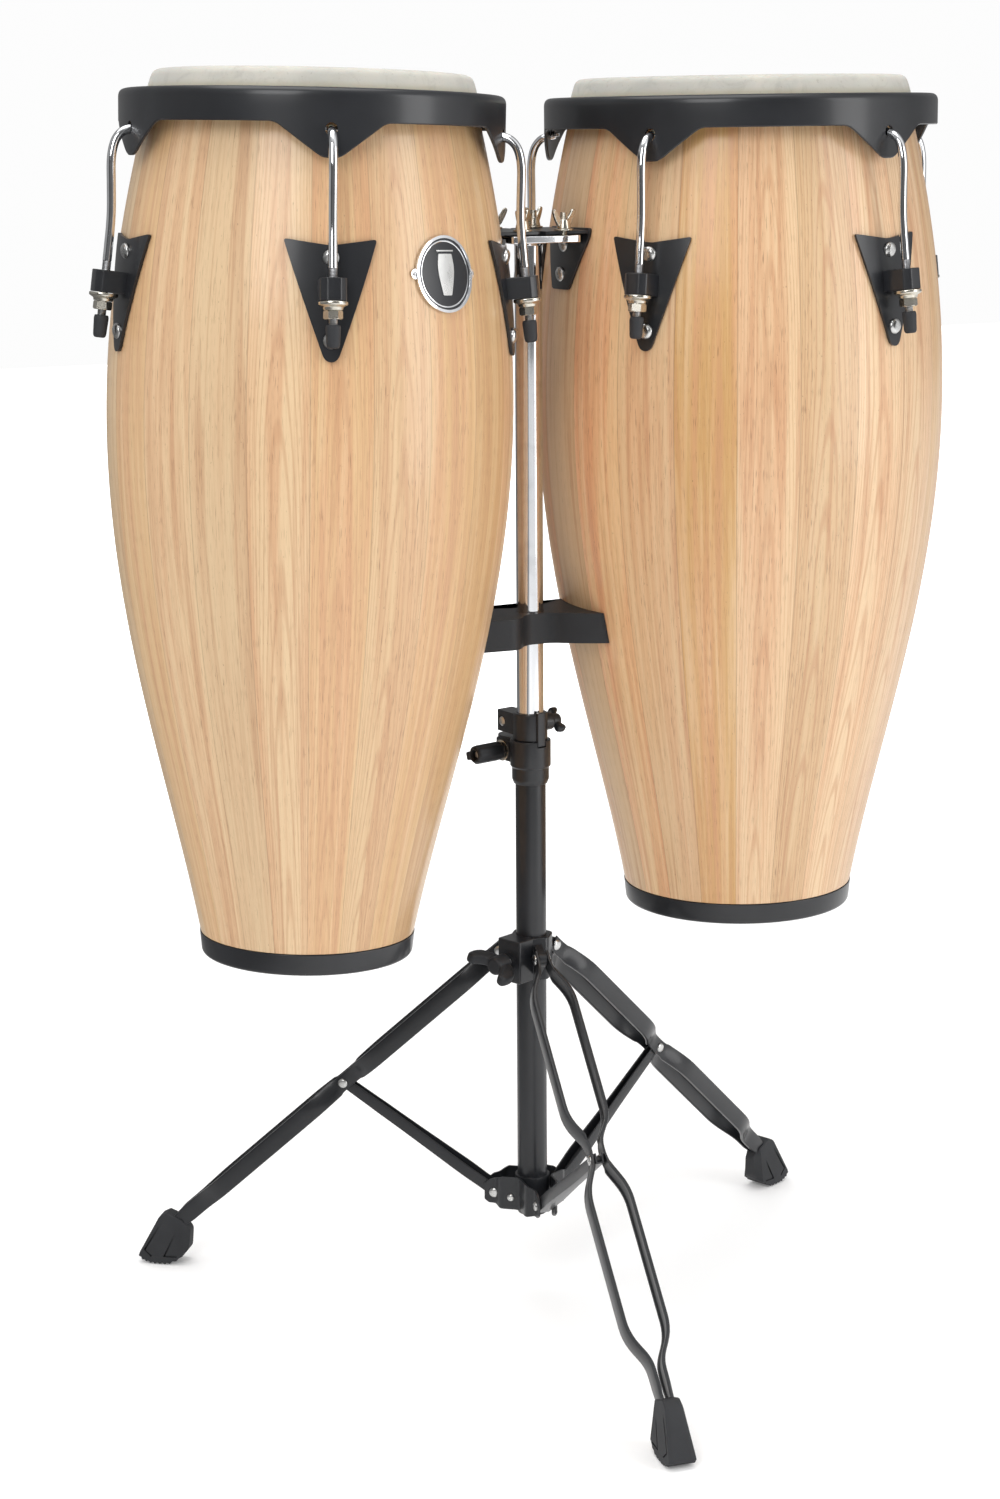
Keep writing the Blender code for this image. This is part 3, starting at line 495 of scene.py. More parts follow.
def wood_material(name, pale, gold, pink, brown, seed):
    """Lacquered staves: every stave has its own tint and its own run of grain."""
    made, tree, shader = graph(name, Coat_Weight=0.35, Coat_Roughness=0.16, Specular_IOR_Level=0.4)
    warm = tuple(0.72 * p + 0.28 * b for p, b in zip(pink, brown))
    x, y, z = axes_of(tree, object_point(tree))
    around = calc(tree, "MULTIPLY_ADD", calc(tree, "ARCTAN2", y, x), STAVES / (2 * pi), STAVES / 2)
    index = calc(tree, "FLOOR", around)
    share = calc(tree, "SUBTRACT", calc(tree, "SUBTRACT", around, index), 0.5)
    across = times(tree, share, 2 * pi * STAVE_R / STAVES)
    key = combined(tree, plus(tree, index, seed), 0.37, 0.0)
    chance = node(tree, "ShaderNodeTexWhiteNoise", {"Vector": key}, noise_dimensions="2D")
    first, second, third = node(tree, "ShaderNodeSeparateColor", {0: chance.outputs["Color"]}).outputs
    offset = times(tree, first, 40.0)
    depth = calc(tree, "MULTIPLY_ADD", index, 1.7, seed)

    def grain(across_scale, along_scale, **settings):
        vector = combined(tree, times(tree, across, across_scale),
                          calc(tree, "MULTIPLY_ADD", z, along_scale, offset), depth)
        return noise(tree, vector, 1.0, **settings)

    wander = grain(12.0, 3.0, detail=2.0)
    wide = grain(60.0, 1.6, detail=3.0, rough=0.6, distort=0.9)
    streak = grain(150.0, 3.0, detail=4.0, rough=0.6, distort=0.8)
    fine = grain(1100.0, 16.0, detail=3.0, rough=0.7)
    pore = grain(2300.0, 70.0, detail=1.0)
    speck = grain(900.0, 260.0, detail=2.0)
    blush = times(tree, span(tree, wide, 0.42, 0.62), span(tree, second, 0.1, 0.9, 0.15, 1.0))
    light = span(tree, streak, 0.50, 0.30, 0.0, 0.60)
    line = span(tree, streak, 0.49, 0.66, 0.0, 0.62)
    arch = times(tree, across, 62.0)
    arch = times(tree, times(tree, arch, arch), 1.6)
    arch = plus(tree, arch, calc(tree, "MULTIPLY_ADD", z, 5.0, times(tree, wander, 2.4)))
    ring = calc(tree, "SINE", times(tree, arch, 2 * pi * 1.9))
    flat_sawn = span(tree, third, 0.52, 0.62)
    rings = times(tree, span(tree, ring, 0.35, 0.98, 0.0, 0.50), flat_sawn)
    thin = span(tree, fine, 0.53, 0.76, 0.0, 0.26)
    flecks = times(tree, span(tree, pore, 0.62, 0.74), span(tree, wide, 0.3, 0.7, 0.25, 0.75))
    specks = span(tree, speck, 0.70, 0.80, 0.0, 0.50)
    body = mixed(tree, span(tree, first, 0.15, 0.85), pale, gold)
    for amount, colour in ((blush, pink), (light, pale), (line, warm), (rings, warm), (thin, brown),
                           (flecks, shaded(brown, 0.55)), (specks, shaded(brown, 0.30))):
        body = mixed(tree, amount, body, colour)
    body = mixed(tree, 1.0, body, grey(tree, span(tree, second, 0.1, 0.9, 0.87, 1.05)), "MULTIPLY")
    seam = span(tree, calc(tree, "ABSOLUTE", share), 0.486, 0.499)
    body = mixed(tree, times(tree, seam, 0.34), body, shaded(brown, 0.45))
    tree.links.new(body, shader.inputs["Base Color"])
    tree.links.new(span(tree, fine, 0.3, 0.8, 0.36, 0.52), shader.inputs["Roughness"])
    bump(tree, shader, calc(tree, "SUBTRACT", times(tree, pore, -0.5), seam), 0.12, 0.0003)
    return made


def skin_material():
    """Rawhide: cream, with grey marbling, hair-fine scuffs and a yellower lap under the rim."""
    made, tree, shader = graph("rawhide_skin", Roughness=0.55, Sheen_Weight=0.15,
                               Specular_IOR_Level=0.35, Subsurface_Weight=0.08, Subsurface_Scale=0.004)
    point = object_point(tree)
    height = axes_of(tree, point)[2]
    cloud = noise(tree, point, 14.0, detail=6.0, rough=0.62, distort=0.6)
    marble = noise(tree, point, 46.0, detail=8.0, rough=0.68, distort=1.2)
    freckle = noise(tree, point, 420.0, detail=2.0)
    scuff = noise(tree, stretched(tree, point, (6.0, 90.0, 6.0)), 4.0, detail=5.0, rough=0.7)
    body = mixed(tree, span(tree, cloud, 0.35, 0.65), (0.45, 0.44, 0.40), (0.54, 0.52, 0.46))
    for pattern, low, high, share, colour in ((marble, 0.52, 0.72, 0.45, (0.30, 0.29, 0.26)),
                                              (scuff, 0.62, 0.75, 0.28, (0.28, 0.27, 0.24)),
                                              (freckle, 0.66, 0.74, 0.35, (0.27, 0.24, 0.19))):
        body = mixed(tree, span(tree, pattern, low, high, 0.0, share), body, colour)
    yellow = span(tree, height, RIM_TOP + 0.0055, RIM_TOP + 0.0005, 0.0, 0.55)
    body = mixed(tree, yellow, body, (0.47, 0.42, 0.28))
    tree.links.new(body, shader.inputs["Base Color"])
    bump(tree, shader, plus(tree, cloud, marble), 0.25, 0.0006)
    return made


def coated_material(name, colour, roughness, texture=900.0, strength=0.06, **constants):
    """Paint, powder coat, plastic or rubber: one colour, with a fine surface of its own."""
    made, tree, shader = graph(name, **constants)
    point = object_point(tree)
    grit = noise(tree, point, texture, detail=3.0, rough=0.6)
    patch = noise(tree, point, 22.0, detail=3.0)
    body = mixed(tree, span(tree, patch, 0.35, 0.65), colour, shaded(colour, 1.35))
    tree.links.new(body, shader.inputs["Base Color"])
    rough = calc(tree, "MULTIPLY_ADD", grit, 0.10, roughness - 0.05)
    tree.links.new(rough, shader.inputs["Roughness"])
    bump(tree, shader, grit, strength, 0.0002)
    return made


def plated_material(name, colour, roughness, patchy=0.03):
    """Plated metal, with faint wiping marks in its gloss."""
    made, tree, shader = graph(name, Metallic=1.0)
    point = object_point(tree)
    wipe = noise(tree, stretched(tree, point, (1.0, 1.0, 0.2)), 160.0, detail=3.0)
    stain = noise(tree, point, 60.0, detail=4.0)
    body = mixed(tree, span(tree, stain, 0.5, 0.75), colour, shaded(colour, 0.86))
    tree.links.new(body, shader.inputs["Base Color"])
    rough = calc(tree, "MULTIPLY_ADD", wipe, patchy * 2, roughness - patchy)
    tree.links.new(rough, shader.inputs["Roughness"])
    return made


MATERIALS = {
    "quinto_wood": wood_material("quinto_staves", (0.70, 0.505, 0.30), (0.61, 0.39, 0.19),
                                 (0.60, 0.34, 0.185), (0.29, 0.135, 0.055), 3.0),
    "conga_wood": wood_material("conga_staves", (0.75, 0.54, 0.33), (0.58, 0.34, 0.13),
                                (0.65, 0.34, 0.18), (0.25, 0.105, 0.038), 41.0),
    "skin": skin_material(),
    "satin_black": coated_material("satin_black_coat", (0.012, 0.0128, 0.0150), 0.36,
                                   Specular_IOR_Level=0.34, Coat_Weight=0.30, Coat_Roughness=0.17),
    "plastic": coated_material("black_nylon", (0.013, 0.0138, 0.0160), 0.50, 700.0, 0.10,
                               Specular_IOR_Level=0.36),
    "rubber": coated_material("black_rubber", (0.020, 0.021, 0.0235), 0.66, 500.0, 0.16,
                              Specular_IOR_Level=0.40),
    "enamel": coated_material("badge_enamel", (0.006, 0.007, 0.010), 0.30, 300.0, 0.0),
    # painted shade: a near-black coat that stands in for the shadow in a recess
    "painted_shade": coated_material("painted_recess_shade", (0.006, 0.006, 0.007), 0.7),
    "chrome": plated_material("bright_chrome", (0.80, 0.81, 0.83), 0.07),
    "thread": plated_material("threaded_steel", (0.46, 0.46, 0.47), 0.30),
    "zinc": plated_material("yellow_zinc", (0.60, 0.57, 0.50), 0.26, 0.05),
    "rivet": plated_material("bright_rivet", (0.60, 0.60, 0.59), 0.28, 0.05),
}


# ================================================================ the drums
def read_drum(name, wood):
    """A drum's frame and shape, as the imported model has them: X points at the stand's post."""
    axis = joint_axis(name + "_rim_slide")
    nuts = [joint_point("%s_nut_turn_%d" % (name, lug)) for lug in range(1, LUG_COUNT + 1)]
    centre = sum(nuts, Vector()) / LUG_COUNT
    tilt = Vector((0, 0, 1)).rotation_difference(axis).to_matrix().to_4x4()
    facing = 0.0 if centre.x < POST.x else pi
    place = Matrix.Translation(centre - axis * LUG_HEIGHT) @ tilt @ turn_z(facing)
    back = place.inverted()
    points = np.array([back @ vertex.co for vertex in frame["nodes"][name + "_shell"].data.vertices])
    heights = np.round(points[:, 2], 4)
    radii = np.hypot(points[:, 0], points[:, 1])
    levels = [h for h in sorted(set(heights)) if RING_HEIGHT < h < RIM_TOP]
    outer = [radii[heights == h].max() for h in levels]
    curve = np.polyfit(levels, outer, 4)
    rim = [back @ vertex.co for vertex in frame["nodes"][name + "_rim"].data.vertices]
    first = back @ nuts[0]
    return {
        "name": name, "wood": wood, "frame": place,
        "radius": lambda height: float(np.polyval(curve, height)),
        "rim": max(hypot(point.x, point.y) for point in rim),
        "lugs": [atan2(first.y, first.x) + 2 * pi * lug / LUG_COUNT for lug in range(LUG_COUNT)],
    }


def make_shell(drum):
    radius = drum["radius"]
    rebate = radius(RING_HEIGHT) - REBATE
    outer = [(rebate, 0.0024), (rebate, RING_HEIGHT + 0.0003)]
    outer += [(radius(RING_HEIGHT), RING_HEIGHT + 0.0006)]
    outer += [(radius(h), h) for h in np.linspace(RING_HEIGHT + 0.003, CROWN, 60)]
    top = radius(CROWN)
    crown = rounded([(top, CROWN, 0), (top - 0.0022, 0.7000, 0.004), (top - 0.0070, 0.7078, 0.003),
                     (top - WALL, 0.7070, 0.002), (top - WALL, CROWN, 0)], 4, closed=False)
    inner = [(radius(h) - WALL, h) for h in np.linspace(0.68, 0.02, 24)]
    inner += [(radius(0.0) - WALL + 0.003, 0.0024)]
    shell = lathe(drum["name"] + "_staved_shell", outer + crown + inner, 168)
    show(shell, "upper", drum["wood"], drum["frame"], drum["name"] + "_shell")


def make_bottom_ring(drum):
    radius = drum["radius"]
    inner = radius(RING_HEIGHT) - REBATE + 0.0003
    outer = radius(RING_HEIGHT) + 0.0006
    lip = radius(0.0) - WALL + 0.0020
    profile = [(inner, RING_HEIGHT, 0.0003), (outer, RING_HEIGHT, 0.0006), (outer - 0.0018, 0.0, 0.0032),
               (lip, 0.0, 0.0006), (lip, 0.0021, 0.0006), (inner, 0.0021, 0.0003)]
    ring = lathe(drum["name"] + "_foot_ring", rounded(profile, 5), 144)
    show(ring, "upper", "satin_black", drum["frame"], drum["name"] + "_bottom_ring")


def make_head(drum):
    """The skin: flat on top, round over the bearing edge, down inside the rim to its hoop."""
    lip = drum["rim"] - RIM_LIP - 0.0012
    flat = lip - 0.0086
    steps = 12
    profile = [(flat * k / steps, DRUM_HEIGHT, 0) for k in range(steps)]
    profile += [(flat + 0.0040, DRUM_HEIGHT - 0.0002, 0.0060), (lip - 0.0004, RIM_TOP + 0.0015, 0.0030),
                (lip, 0.6890, 0.0020), (lip + 0.0092, 0.6862, 0.0040), (lip + 0.0100, 0.6770, 0.0040),
                (lip + 0.0040, 0.6765, 0)]
    top = drum["radius"](CROWN)
    outline = rounded(profile, 6, closed=False)
    outline += [(top + 0.0010, CROWN), (top - 0.0012, 0.7006), (top - 0.0062, 0.7089), (0.0, 0.7089)]
    outlines = []
    for turn in full_turn(160):
        wave = 0.00025 * sin(5 * turn + 0.6) + 0.00018 * sin(11 * turn)
        wavy = []
        for radius, height in outline:
            share = clamped((DRUM_HEIGHT - height) / 0.010) if radius > flat else 0.0
            wavy.append(about(radius + wave * share, turn, height))
        outlines.append(wavy)
    head = pole_skin(drum["name"] + "_rawhide", outlines)
    show(head, "upper", "skin", drum["frame"], drum["name"] + "_head", angle=60)


def make_rim(drum):
    """Pressed rim with a rounded shoulder and a pierced ear at each rod."""
    outer = drum["rim"]
    lip = outer - RIM_LIP
    lip_low, shoulder, steps = 0.6898, 0.6800, 72
    edge = rounded([(0.0, EAR_TIP, 0), (0.0068, EAR_TIP, 0.0060), (0.0425, SKIRT_LOW, 0.0050),
                    (0.2, SKIRT_LOW, 0)], 6, closed=False)
    reach, level = zip(*edge)
    crown = rounded([(outer, shoulder, 0), (outer, RIM_TOP, 0.0066), (lip, RIM_TOP + 0.0002, 0.0030),
                     (lip, lip_low, 0)], 7, closed=False)
    inner, roof = outer - RIM_METAL, RIM_TOP - RIM_METAL
    under = rounded([(lip + RIM_METAL * 0.8, lip_low, 0), (lip + RIM_METAL, roof, 0.0012),
                     (inner, roof, 0.0042), (inner, shoulder, 0)], 5, closed=False)
    rings = []
    for k, turn in enumerate(full_turn(steps * LUG_COUNT)):
        offset = abs((k + steps // 2) % steps - steps // 2) * 2 * pi / (steps * LUG_COUNT) * outer
        low = float(np.interp(offset, reach, level))
        hem = [(inner, low + 0.0009), (inner + 0.0008, low)]
        hem += [(outer - 0.0008, low), (outer, low + 0.0009)]
        rings.append([about(r, drum["lugs"][0] + turn, z) for r, z in hem + crown + under])
    rim = from_rings(drum["name"] + "_pressed_rim", rings)
    through = shift(outer, 0, HOOK_HEIGHT + 0.0010) @ turn_y(pi / 2)
    cut(rim, [moved(plug(0.0048, -0.008, 0.008, 24), turn_z(turn) @ through) for turn in drum["lugs"]])
    show(rim, drum["name"] + "_rim_set", "satin_black", drum["frame"], drum["name"] + "_rim")


def wrap(drum, item, turn=0.0):
    """Bend a flat piece drawn in (round, up, out) onto the shell's side."""
    radius = drum["radius"]
    for vertex in item.data.vertices:
        round_, up, out = vertex.co
        vertex.co = about(radius(up) + out, turn + round_ / radius(LUG_HEIGHT), up)
    return item


def pressed_sheet(name, outline, low, high, step):
    """An outline cut into small faces, so that it can bend, and given its thickness."""
    shape = bmesh.new()
    shape.faces.new([shape.verts.new((x, y, low)) for x, y in outline])
    for axis in (0, 1):
        start = min(point[axis] for point in outline)
        end = max(point[axis] for point in outline)
        count = ceil((end - start) / step)
        for i in range(1, count):
            place = [0.0, 0.0, low]
            place[axis] = start + (end - start) * i / count
            normal = [0.0, 0.0, 0.0]
            normal[axis] = 1.0
            geometry = shape.verts[:] + shape.edges[:] + shape.faces[:]
            bmesh.ops.bisect_plane(shape, geom=geometry, plane_co=place, plane_no=normal, dist=WELD)
    thickened(shape, high - low)
    return from_bmesh(shape, name)


def dome_bolt(name, radius, height, sides=32):
    """A low domed bolt head standing on the origin, along Z."""
    profile = [(0.0, -0.0005, 0), (radius, -0.0005, 0), (radius, height * 0.30, 0.0006)]
    profile += [(radius * 0.72, height * 0.86, radius * 0.25), (0.0, height, 0)]
    return lathe(name, rounded(profile, 6, closed=False), sides)


def on_shell(drum, turn, height, out):
    """Frame on the shell's side, its Z pointing straight out from the surface."""
    radius = drum["radius"]
    slope = (radius(height + 0.005) - radius(height - 0.005)) / 0.010
    return turn_z(turn) @ shift(radius(height) + out, 0, height) @ turn_y(pi / 2 - atan2(slope, 1.0))


def rod_frame(drum):
    """Frame on a rod's tilted lower length, at its lug: Z points up along it."""
    out = drum["rim"] + ROD_STANDOFF + (ROD_BEND - LUG_HEIGHT) * tan(ROD_TILT)
    return shift(out, 0, LUG_HEIGHT) @ turn_y(-ROD_TILT)


def make_side_plates(drum):
    name, place = drum["name"], drum["frame"]
    half, top, tip = 0.0360, 0.5852, 0.4947
    outline = rounded([(-half, top, 0.0030), (0.0, top - 0.0048, 0.0040), (half, top, 0.0030),
                       (0.0044, tip, 0.0060), (-0.0044, tip, 0.0060)], 5)
    sheet_mesh = mesh_of(wrap(drum, pressed_sheet("sheet", outline, PLATE_GAP, PLATE_FACE, 0.0055)))
    guide_frame = rod_frame(drum)
    root = drum["radius"](LUG_HEIGHT) + PLATE_GAP - guide_frame.translation.x
    section = rounded([(root, -0.0100, 0), (0.0048, -0.0100, 0.0012), (0.0095, -0.0052, 0.0012),
                       (0.0095, 0.0052, 0.0012), (0.0048, 0.0100, 0.0012), (root, 0.0100, 0)], 3)
    guide_mesh = mesh_of(moved(slab("guide", section, -0.0085, 0.0085), guide_frame))
    bolt_mesh = mesh_of(dome_bolt("bolt", 0.0062, 0.0034))
    for lug, turn in enumerate(drum["lugs"], 1):
        here = place @ turn_z(turn)
        label = "%s_lug_%d" % (name, lug)
        plate = bevel(new_object(label + "_plate", sheet_mesh), 0.0006)
        show(plate, "upper", "satin_black", here, "%s_side_plate_%d" % (name, lug))
        guide = bevel(new_object(label + "_rod_guide", guide_mesh), 0.0007)
        show(guide, "upper", "satin_black", here)
        for end, height in (("upper", 0.5715), ("lower", 0.5105)):
            seat = here @ on_shell(drum, 0.0, height, PLATE_FACE)
            show(new_object("%s_%s_bolt" % (label, end), bolt_mesh), "upper", "rivet", seat)


def threaded_rod(name, radius, low, high, pitch=0.0010, sides=16):
    """A helical thread along Z."""
    depth = 0.00042
    rows = int((high - low) / (pitch / 4))
    rings = []
    for i in range(rows + 1):
        height = low + (high - low) * i / rows
        ring = []
        for k, turn in enumerate(full_turn(sides)):
            phase = (height / pitch - k / sides) % 1.0
            ring.append(about(radius - depth * abs(2 * phase - 1), turn, height))
        rings.append(ring)
    return from_rings(name, rings, closed=False)


def hex_nut(name, flats, low, high, bore, sides=48):
    """A hexagonal nut with chamfered corners, round a bore."""
    rings = []
    chamfer = 0.0009
    corner = flats / cos(pi / 6)
    for turn in full_turn(sides):
        reach = flats / cos((turn % (pi / 3)) - pi / 6)
        drop = chamfer * (reach - flats) / (corner - flats)
        half = [(bore, low), (flats * 0.96, low), (flats, low), (reach, low + drop)]
        profile = half + [(r, low + high - z) for r, z in reversed(half)]
        rings.append([about(r, turn, z) for r, z in profile])
    return from_rings(name, rings)


def make_tuning(drum):
    """Hooks, nuts, washers and rubber caps, one set at each lug."""
    name, rim = drum["name"], drum["rim"]
    out = rim + ROD_STANDOFF
    frame_rod = rod_frame(drum)
    toe_height = HOOK_HEIGHT + 0.0015
    route = [(rim - 0.0062, 0, toe_height), (rim - 0.0005, 0, HOOK_HEIGHT), (rim + 0.0060, 0, 0.6615),
             (rim + 0.0110, 0, 0.6560), (rim + 0.0138, 0, 0.6480), (out, 0, 0.6380), (out, 0, 0.6240),
             (out, 0, 0.6080), (out + 0.0003, 0, ROD_BEND + 0.0005)]
    for drop in (0.010, 0.022, 0.034):
        route.append((out + drop * sin(ROD_TILT), 0, ROD_BEND - drop * cos(ROD_TILT)))
    hook = tube("hook", smooth_path(route, 5), ROD_R)
    toe = block("toe", (-0.0022, -0.0062, -0.0018), (0.0022, 0.0062, 0.0018))
    moved(toe, shift(rim - 0.0072, 0, toe_height))
    bend_up = (ROD_BEND - LUG_HEIGHT) / cos(ROD_TILT)
    cap_profile = [(0.0, -0.0432, 0), (0.0050, -0.0432, 0.0034), (0.0058, -0.0280, 0.0012),
                   (0.0052, -0.0258, 0.0006), (0.0, -0.0258, 0)]
    top, bore = -0.0088, 0.0040
    washer_profile = [(bore, top, 0), (0.0112, top, 0.0006), (0.0112, top - 0.0024, 0.0008),
                      (0.0078, top - 0.0042, 0.0006), (0.0074, top - 0.0063, 0.0004),
                      (bore, top - 0.0063, 0)]
    parts = {
        "hook": joined("hook", [hook, bevel(toe, 0.0012)]),
        "thread": threaded_rod("thread", ROD_R, -0.0300, bend_up - 0.0335),
        "cap": lathe("cap", rounded(cap_profile, 5, closed=False), 28),
        "nut": hex_nut("nut", 0.00635, top - 0.0130, top - 0.0064, bore),
        "washer": lathe("washer", rounded(washer_profile, 3), 40),
    }
    meshes = {key: mesh_of(item) for key, item in parts.items()}
    for lug, turn in enumerate(drum["lugs"], 1):
        here = drum["frame"] @ turn_z(turn)
        rod_here = here @ frame_rod
        nut_here = rod_here @ turn_z(lug * 0.9)
        rim_set, nut_body = name + "_rim_set", "%s_nut_%d" % (name, lug)
        for key, body, finish, place, replaces in (
                ("hook", rim_set, "chrome", here, "%s_tuning_hook_%d" % (name, lug)),
                ("thread", rim_set, "thread", rod_here, None),
                ("cap", rim_set, "rubber", rod_here, None),
                ("nut", nut_body, "zinc", nut_here, "%s_tuning_nut_%d" % (name, lug)),
                ("washer", nut_body, "zinc", rod_here, None)):
            piece = new_object("%s_lug_%d_%s" % (name, lug, key), meshes[key])
            show(piece, body, finish, place, replaces)


def make_mount_bracket(drum):
    """A plate on the shell's side and the flange that lies on the stand's plate."""
    name, place = drum["name"], drum["frame"]
    flange_low = PLATE_TOP + 0.0004
    level = drum_height_at(drum, flange_low + FLANGE_THICK / 2)
    top, bottom = level + 0.0030, level - 0.0476
    half, foot = 0.0368, 0.0145
    outline = rounded([(-half, top, 0.0030), (-half, top - 0.0070, 0.0050), (-foot, bottom, 0.0030),
                       (foot, bottom, 0.0030), (half, top - 0.0070, 0.0050), (half, top, 0.0030)], 4)
    plate = pressed_sheet(name + "_bracket_plate", outline, PLATE_GAP, PLATE_FACE, 0.0060)
    show(bevel(wrap(drum, plate), 0.0007), "upper", "satin_black", place, name + "_mount_bracket")
    radius = drum["radius"](level) + PLATE_GAP
    turns = [half * 0.985 * share / drum["radius"](LUG_HEIGHT) for share in np.linspace(-1, 1, 17)]
    edge = [place @ Vector(about(radius, t, level)) - POST for t in turns]
    edge = [(point.x, point.y, 0) for point in edge]
    inner = -0.0012 if edge[0][0] < 0 else 0.0012
    outline = rounded(edge + [(inner, edge[-1][1], 0.004), (inner, edge[0][1], 0.004)], 4)
    flange = slab(name + "_bracket_flange", outline, flange_low, flange_low + FLANGE_THICK)
    show(bevel(flange, 0.0007), "upper", "satin_black", STAND)
    for end, height in (("upper", 0.9165), ("lower", 0.8925)):
        seat = on_shell(drum, 0.0, drum_height_at(drum, height), PLATE_FACE)
        bolt = dome_bolt("%s_bracket_%s_bolt" % (name, end), 0.0062, 0.0032)
        show(bolt, "upper", "rivet", place @ seat)


def drum_height_at(drum, level):
    """Height along a drum's own axis where the axis passes a level above the floor."""
    place = drum["frame"]
    return (level - place.translation.z) / place.col[2].z


def make_badge(drum, turn):
    """An oval badge between two lugs, with a plain drum figure instead of lettering."""
    name, centre = drum["name"] + "_badge_", 0.5600
    wide, tall = 0.0284, 0.0292
    face = 0.0018

    def put(item, finish):
        show(wrap(drum, item, turn), "upper", finish, drum["frame"])

    def on_oval(share, angle):
        return wide * share * cos(angle), centre + tall * share * sin(angle)

    oval = [on_oval(0.91, t) for t in full_turn(72)]
    put(pressed_sheet(name + "enamel", oval, PLATE_GAP, 0.0020, 0.0060), "enamel")
    for label, outer, inner, low, high in (("frame", 1.0, 0.905, PLATE_GAP, 0.0030),
                                           ("line", 0.860, 0.822, face, 0.0023)):
        halfway = (low + high) / 2
        section = [(outer, low), (outer, halfway), (outer - 0.012, high), (inner + 0.012, high),
                   (inner, halfway), (inner, low)]
        rings = [[(*on_oval(share, t), out) for share, out in section] for t in full_turn(96)]
        put(from_rings(name + label, rings), "chrome")
    half_drum = [(0.0088, centre + 0.0030, 0.010), (0.0042, centre - 0.0160, 0.001)]
    figure = [(-0.0068, centre + 0.0150, 0.001), (0.0068, centre + 0.0150, 0.001)] + half_drum
    figure += [(-x, y, soft) for x, y, soft in reversed(half_drum)]
    barrel = pressed_sheet("barrel", rounded(figure, 6), face, 0.0024, 0.0050)
    band = pressed_sheet("band", [(-0.0085, centre + 0.0168), (-0.0085, centre + 0.0178),
                                  (0.0085, centre + 0.0178), (0.0085, centre + 0.0168)],
                         face, 0.0026, 0.0050)
    put(joined(name + "figure", [barrel, band]), "rivet")
    for label, side in (("left", -1), ("right", 1)):
        outline = arc((side * (wide + 0.0004), centre), 0.0038, 0, 2 * pi * 15 / 16, 15)
        put(pressed_sheet(name + label + "_tab", outline, PLATE_GAP, face, 0.004), "chrome")
        place = turn + side * (wide + 0.0014) / drum["radius"](LUG_HEIGHT)
        pin = dome_bolt(name + label + "_pin", 0.0017, 0.0014, 16)
        show(pin, "upper", "thread", drum["frame"] @ on_shell(drum, place, centre, 0.0016))


# ================================================================ the upper half of the stand
def make_upper_post():
    low = PLATE_TOP - PLATE_THICK
    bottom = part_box("upper_post")[0].z
    wall = [(POST_R, bottom), (POST_R, low), (POST_BORE, low), (POST_BORE, bottom)]
    show(lathe("chrome_post", wall, 72), "upper", "chrome", STAND, "upper_post")
    corners = ((1, 1), (-1, 1), (-1, -1), (1, -1))
    outline = rounded([(x * PLATE_HALF_X, y * PLATE_HALF_Y, 0.004) for x, y in corners], 6)
    plate = bevel(slab("post_plate", outline, low, PLATE_TOP), 0.0010, 3)
    show(plate, "upper", "chrome", STAND)
    weld = [(POST_R - 0.0004, low - 0.0035), (POST_R + 0.0008, low - 0.0020),
            (POST_R + 0.0030, low + 0.0002), (POST_R - 0.0004, low + 0.0002)]
    show(lathe("post_weld", weld, 48), "upper", "chrome", STAND)
    for number, (side_x, side_y) in enumerate(((-1, -1), (1, -1), (1, 1), (-1, 1)), 1):
        place = STAND @ shift(side_x * STUD_X, side_y * STUD_Y, 0)
        stud = threaded_rod("plate_stud_%d" % number, STUD_R, PLATE_TOP - 0.002, STUD_TOP)
        show(stud, "upper", "zinc", place)


def make_wing_nuts():
    bore = STUD_R + PLAY
    core_outline = rounded([(bore, 0.0014, 0), (0.0060, 0.0014, 0.0006), (0.0044, 0.0090, 0.0010),
                            (bore, 0.0092, 0)], 4)
    wing_outline = rounded([(0.0030, 0.0022, 0), (0.0064, 0.0030, 0.0020), (0.0108, 0.0112, 0.0050),
                            (0.0124, 0.0162, 0.0024), (0.0092, 0.0174, 0.0026), (0.0062, 0.0122, 0.0030),
                            (0.0034, 0.0090, 0.0010)], 4)
    for number, spin in enumerate((0.7, 0.26, 0.52, -0.35), 1):
        seat = Matrix.Translation(joint_point("plate_nut_turn_%d" % number))
        body = "plate_nut_%d" % number
        washer = "wing_washer_%d" % number
        show(plain_ring(washer, bore, 0.0078, 0.0, 0.0013, (0.0004, 0.0005), 3, 36), body, "zinc", seat)
        pieces = [lathe("core", core_outline, 28)]
        for side in (0, pi):
            wing = moved(slab("wing", wing_outline, -0.0014, 0.0014), turn_z(side) @ turn_x(pi / 2))
            pieces.append(bevel(wing, 0.0007))
        nut = joined("wing_nut_body_%d" % number, pieces)
        show(nut, body, "zinc", seat @ turn_z(spin), "wing_nut_%d" % number)


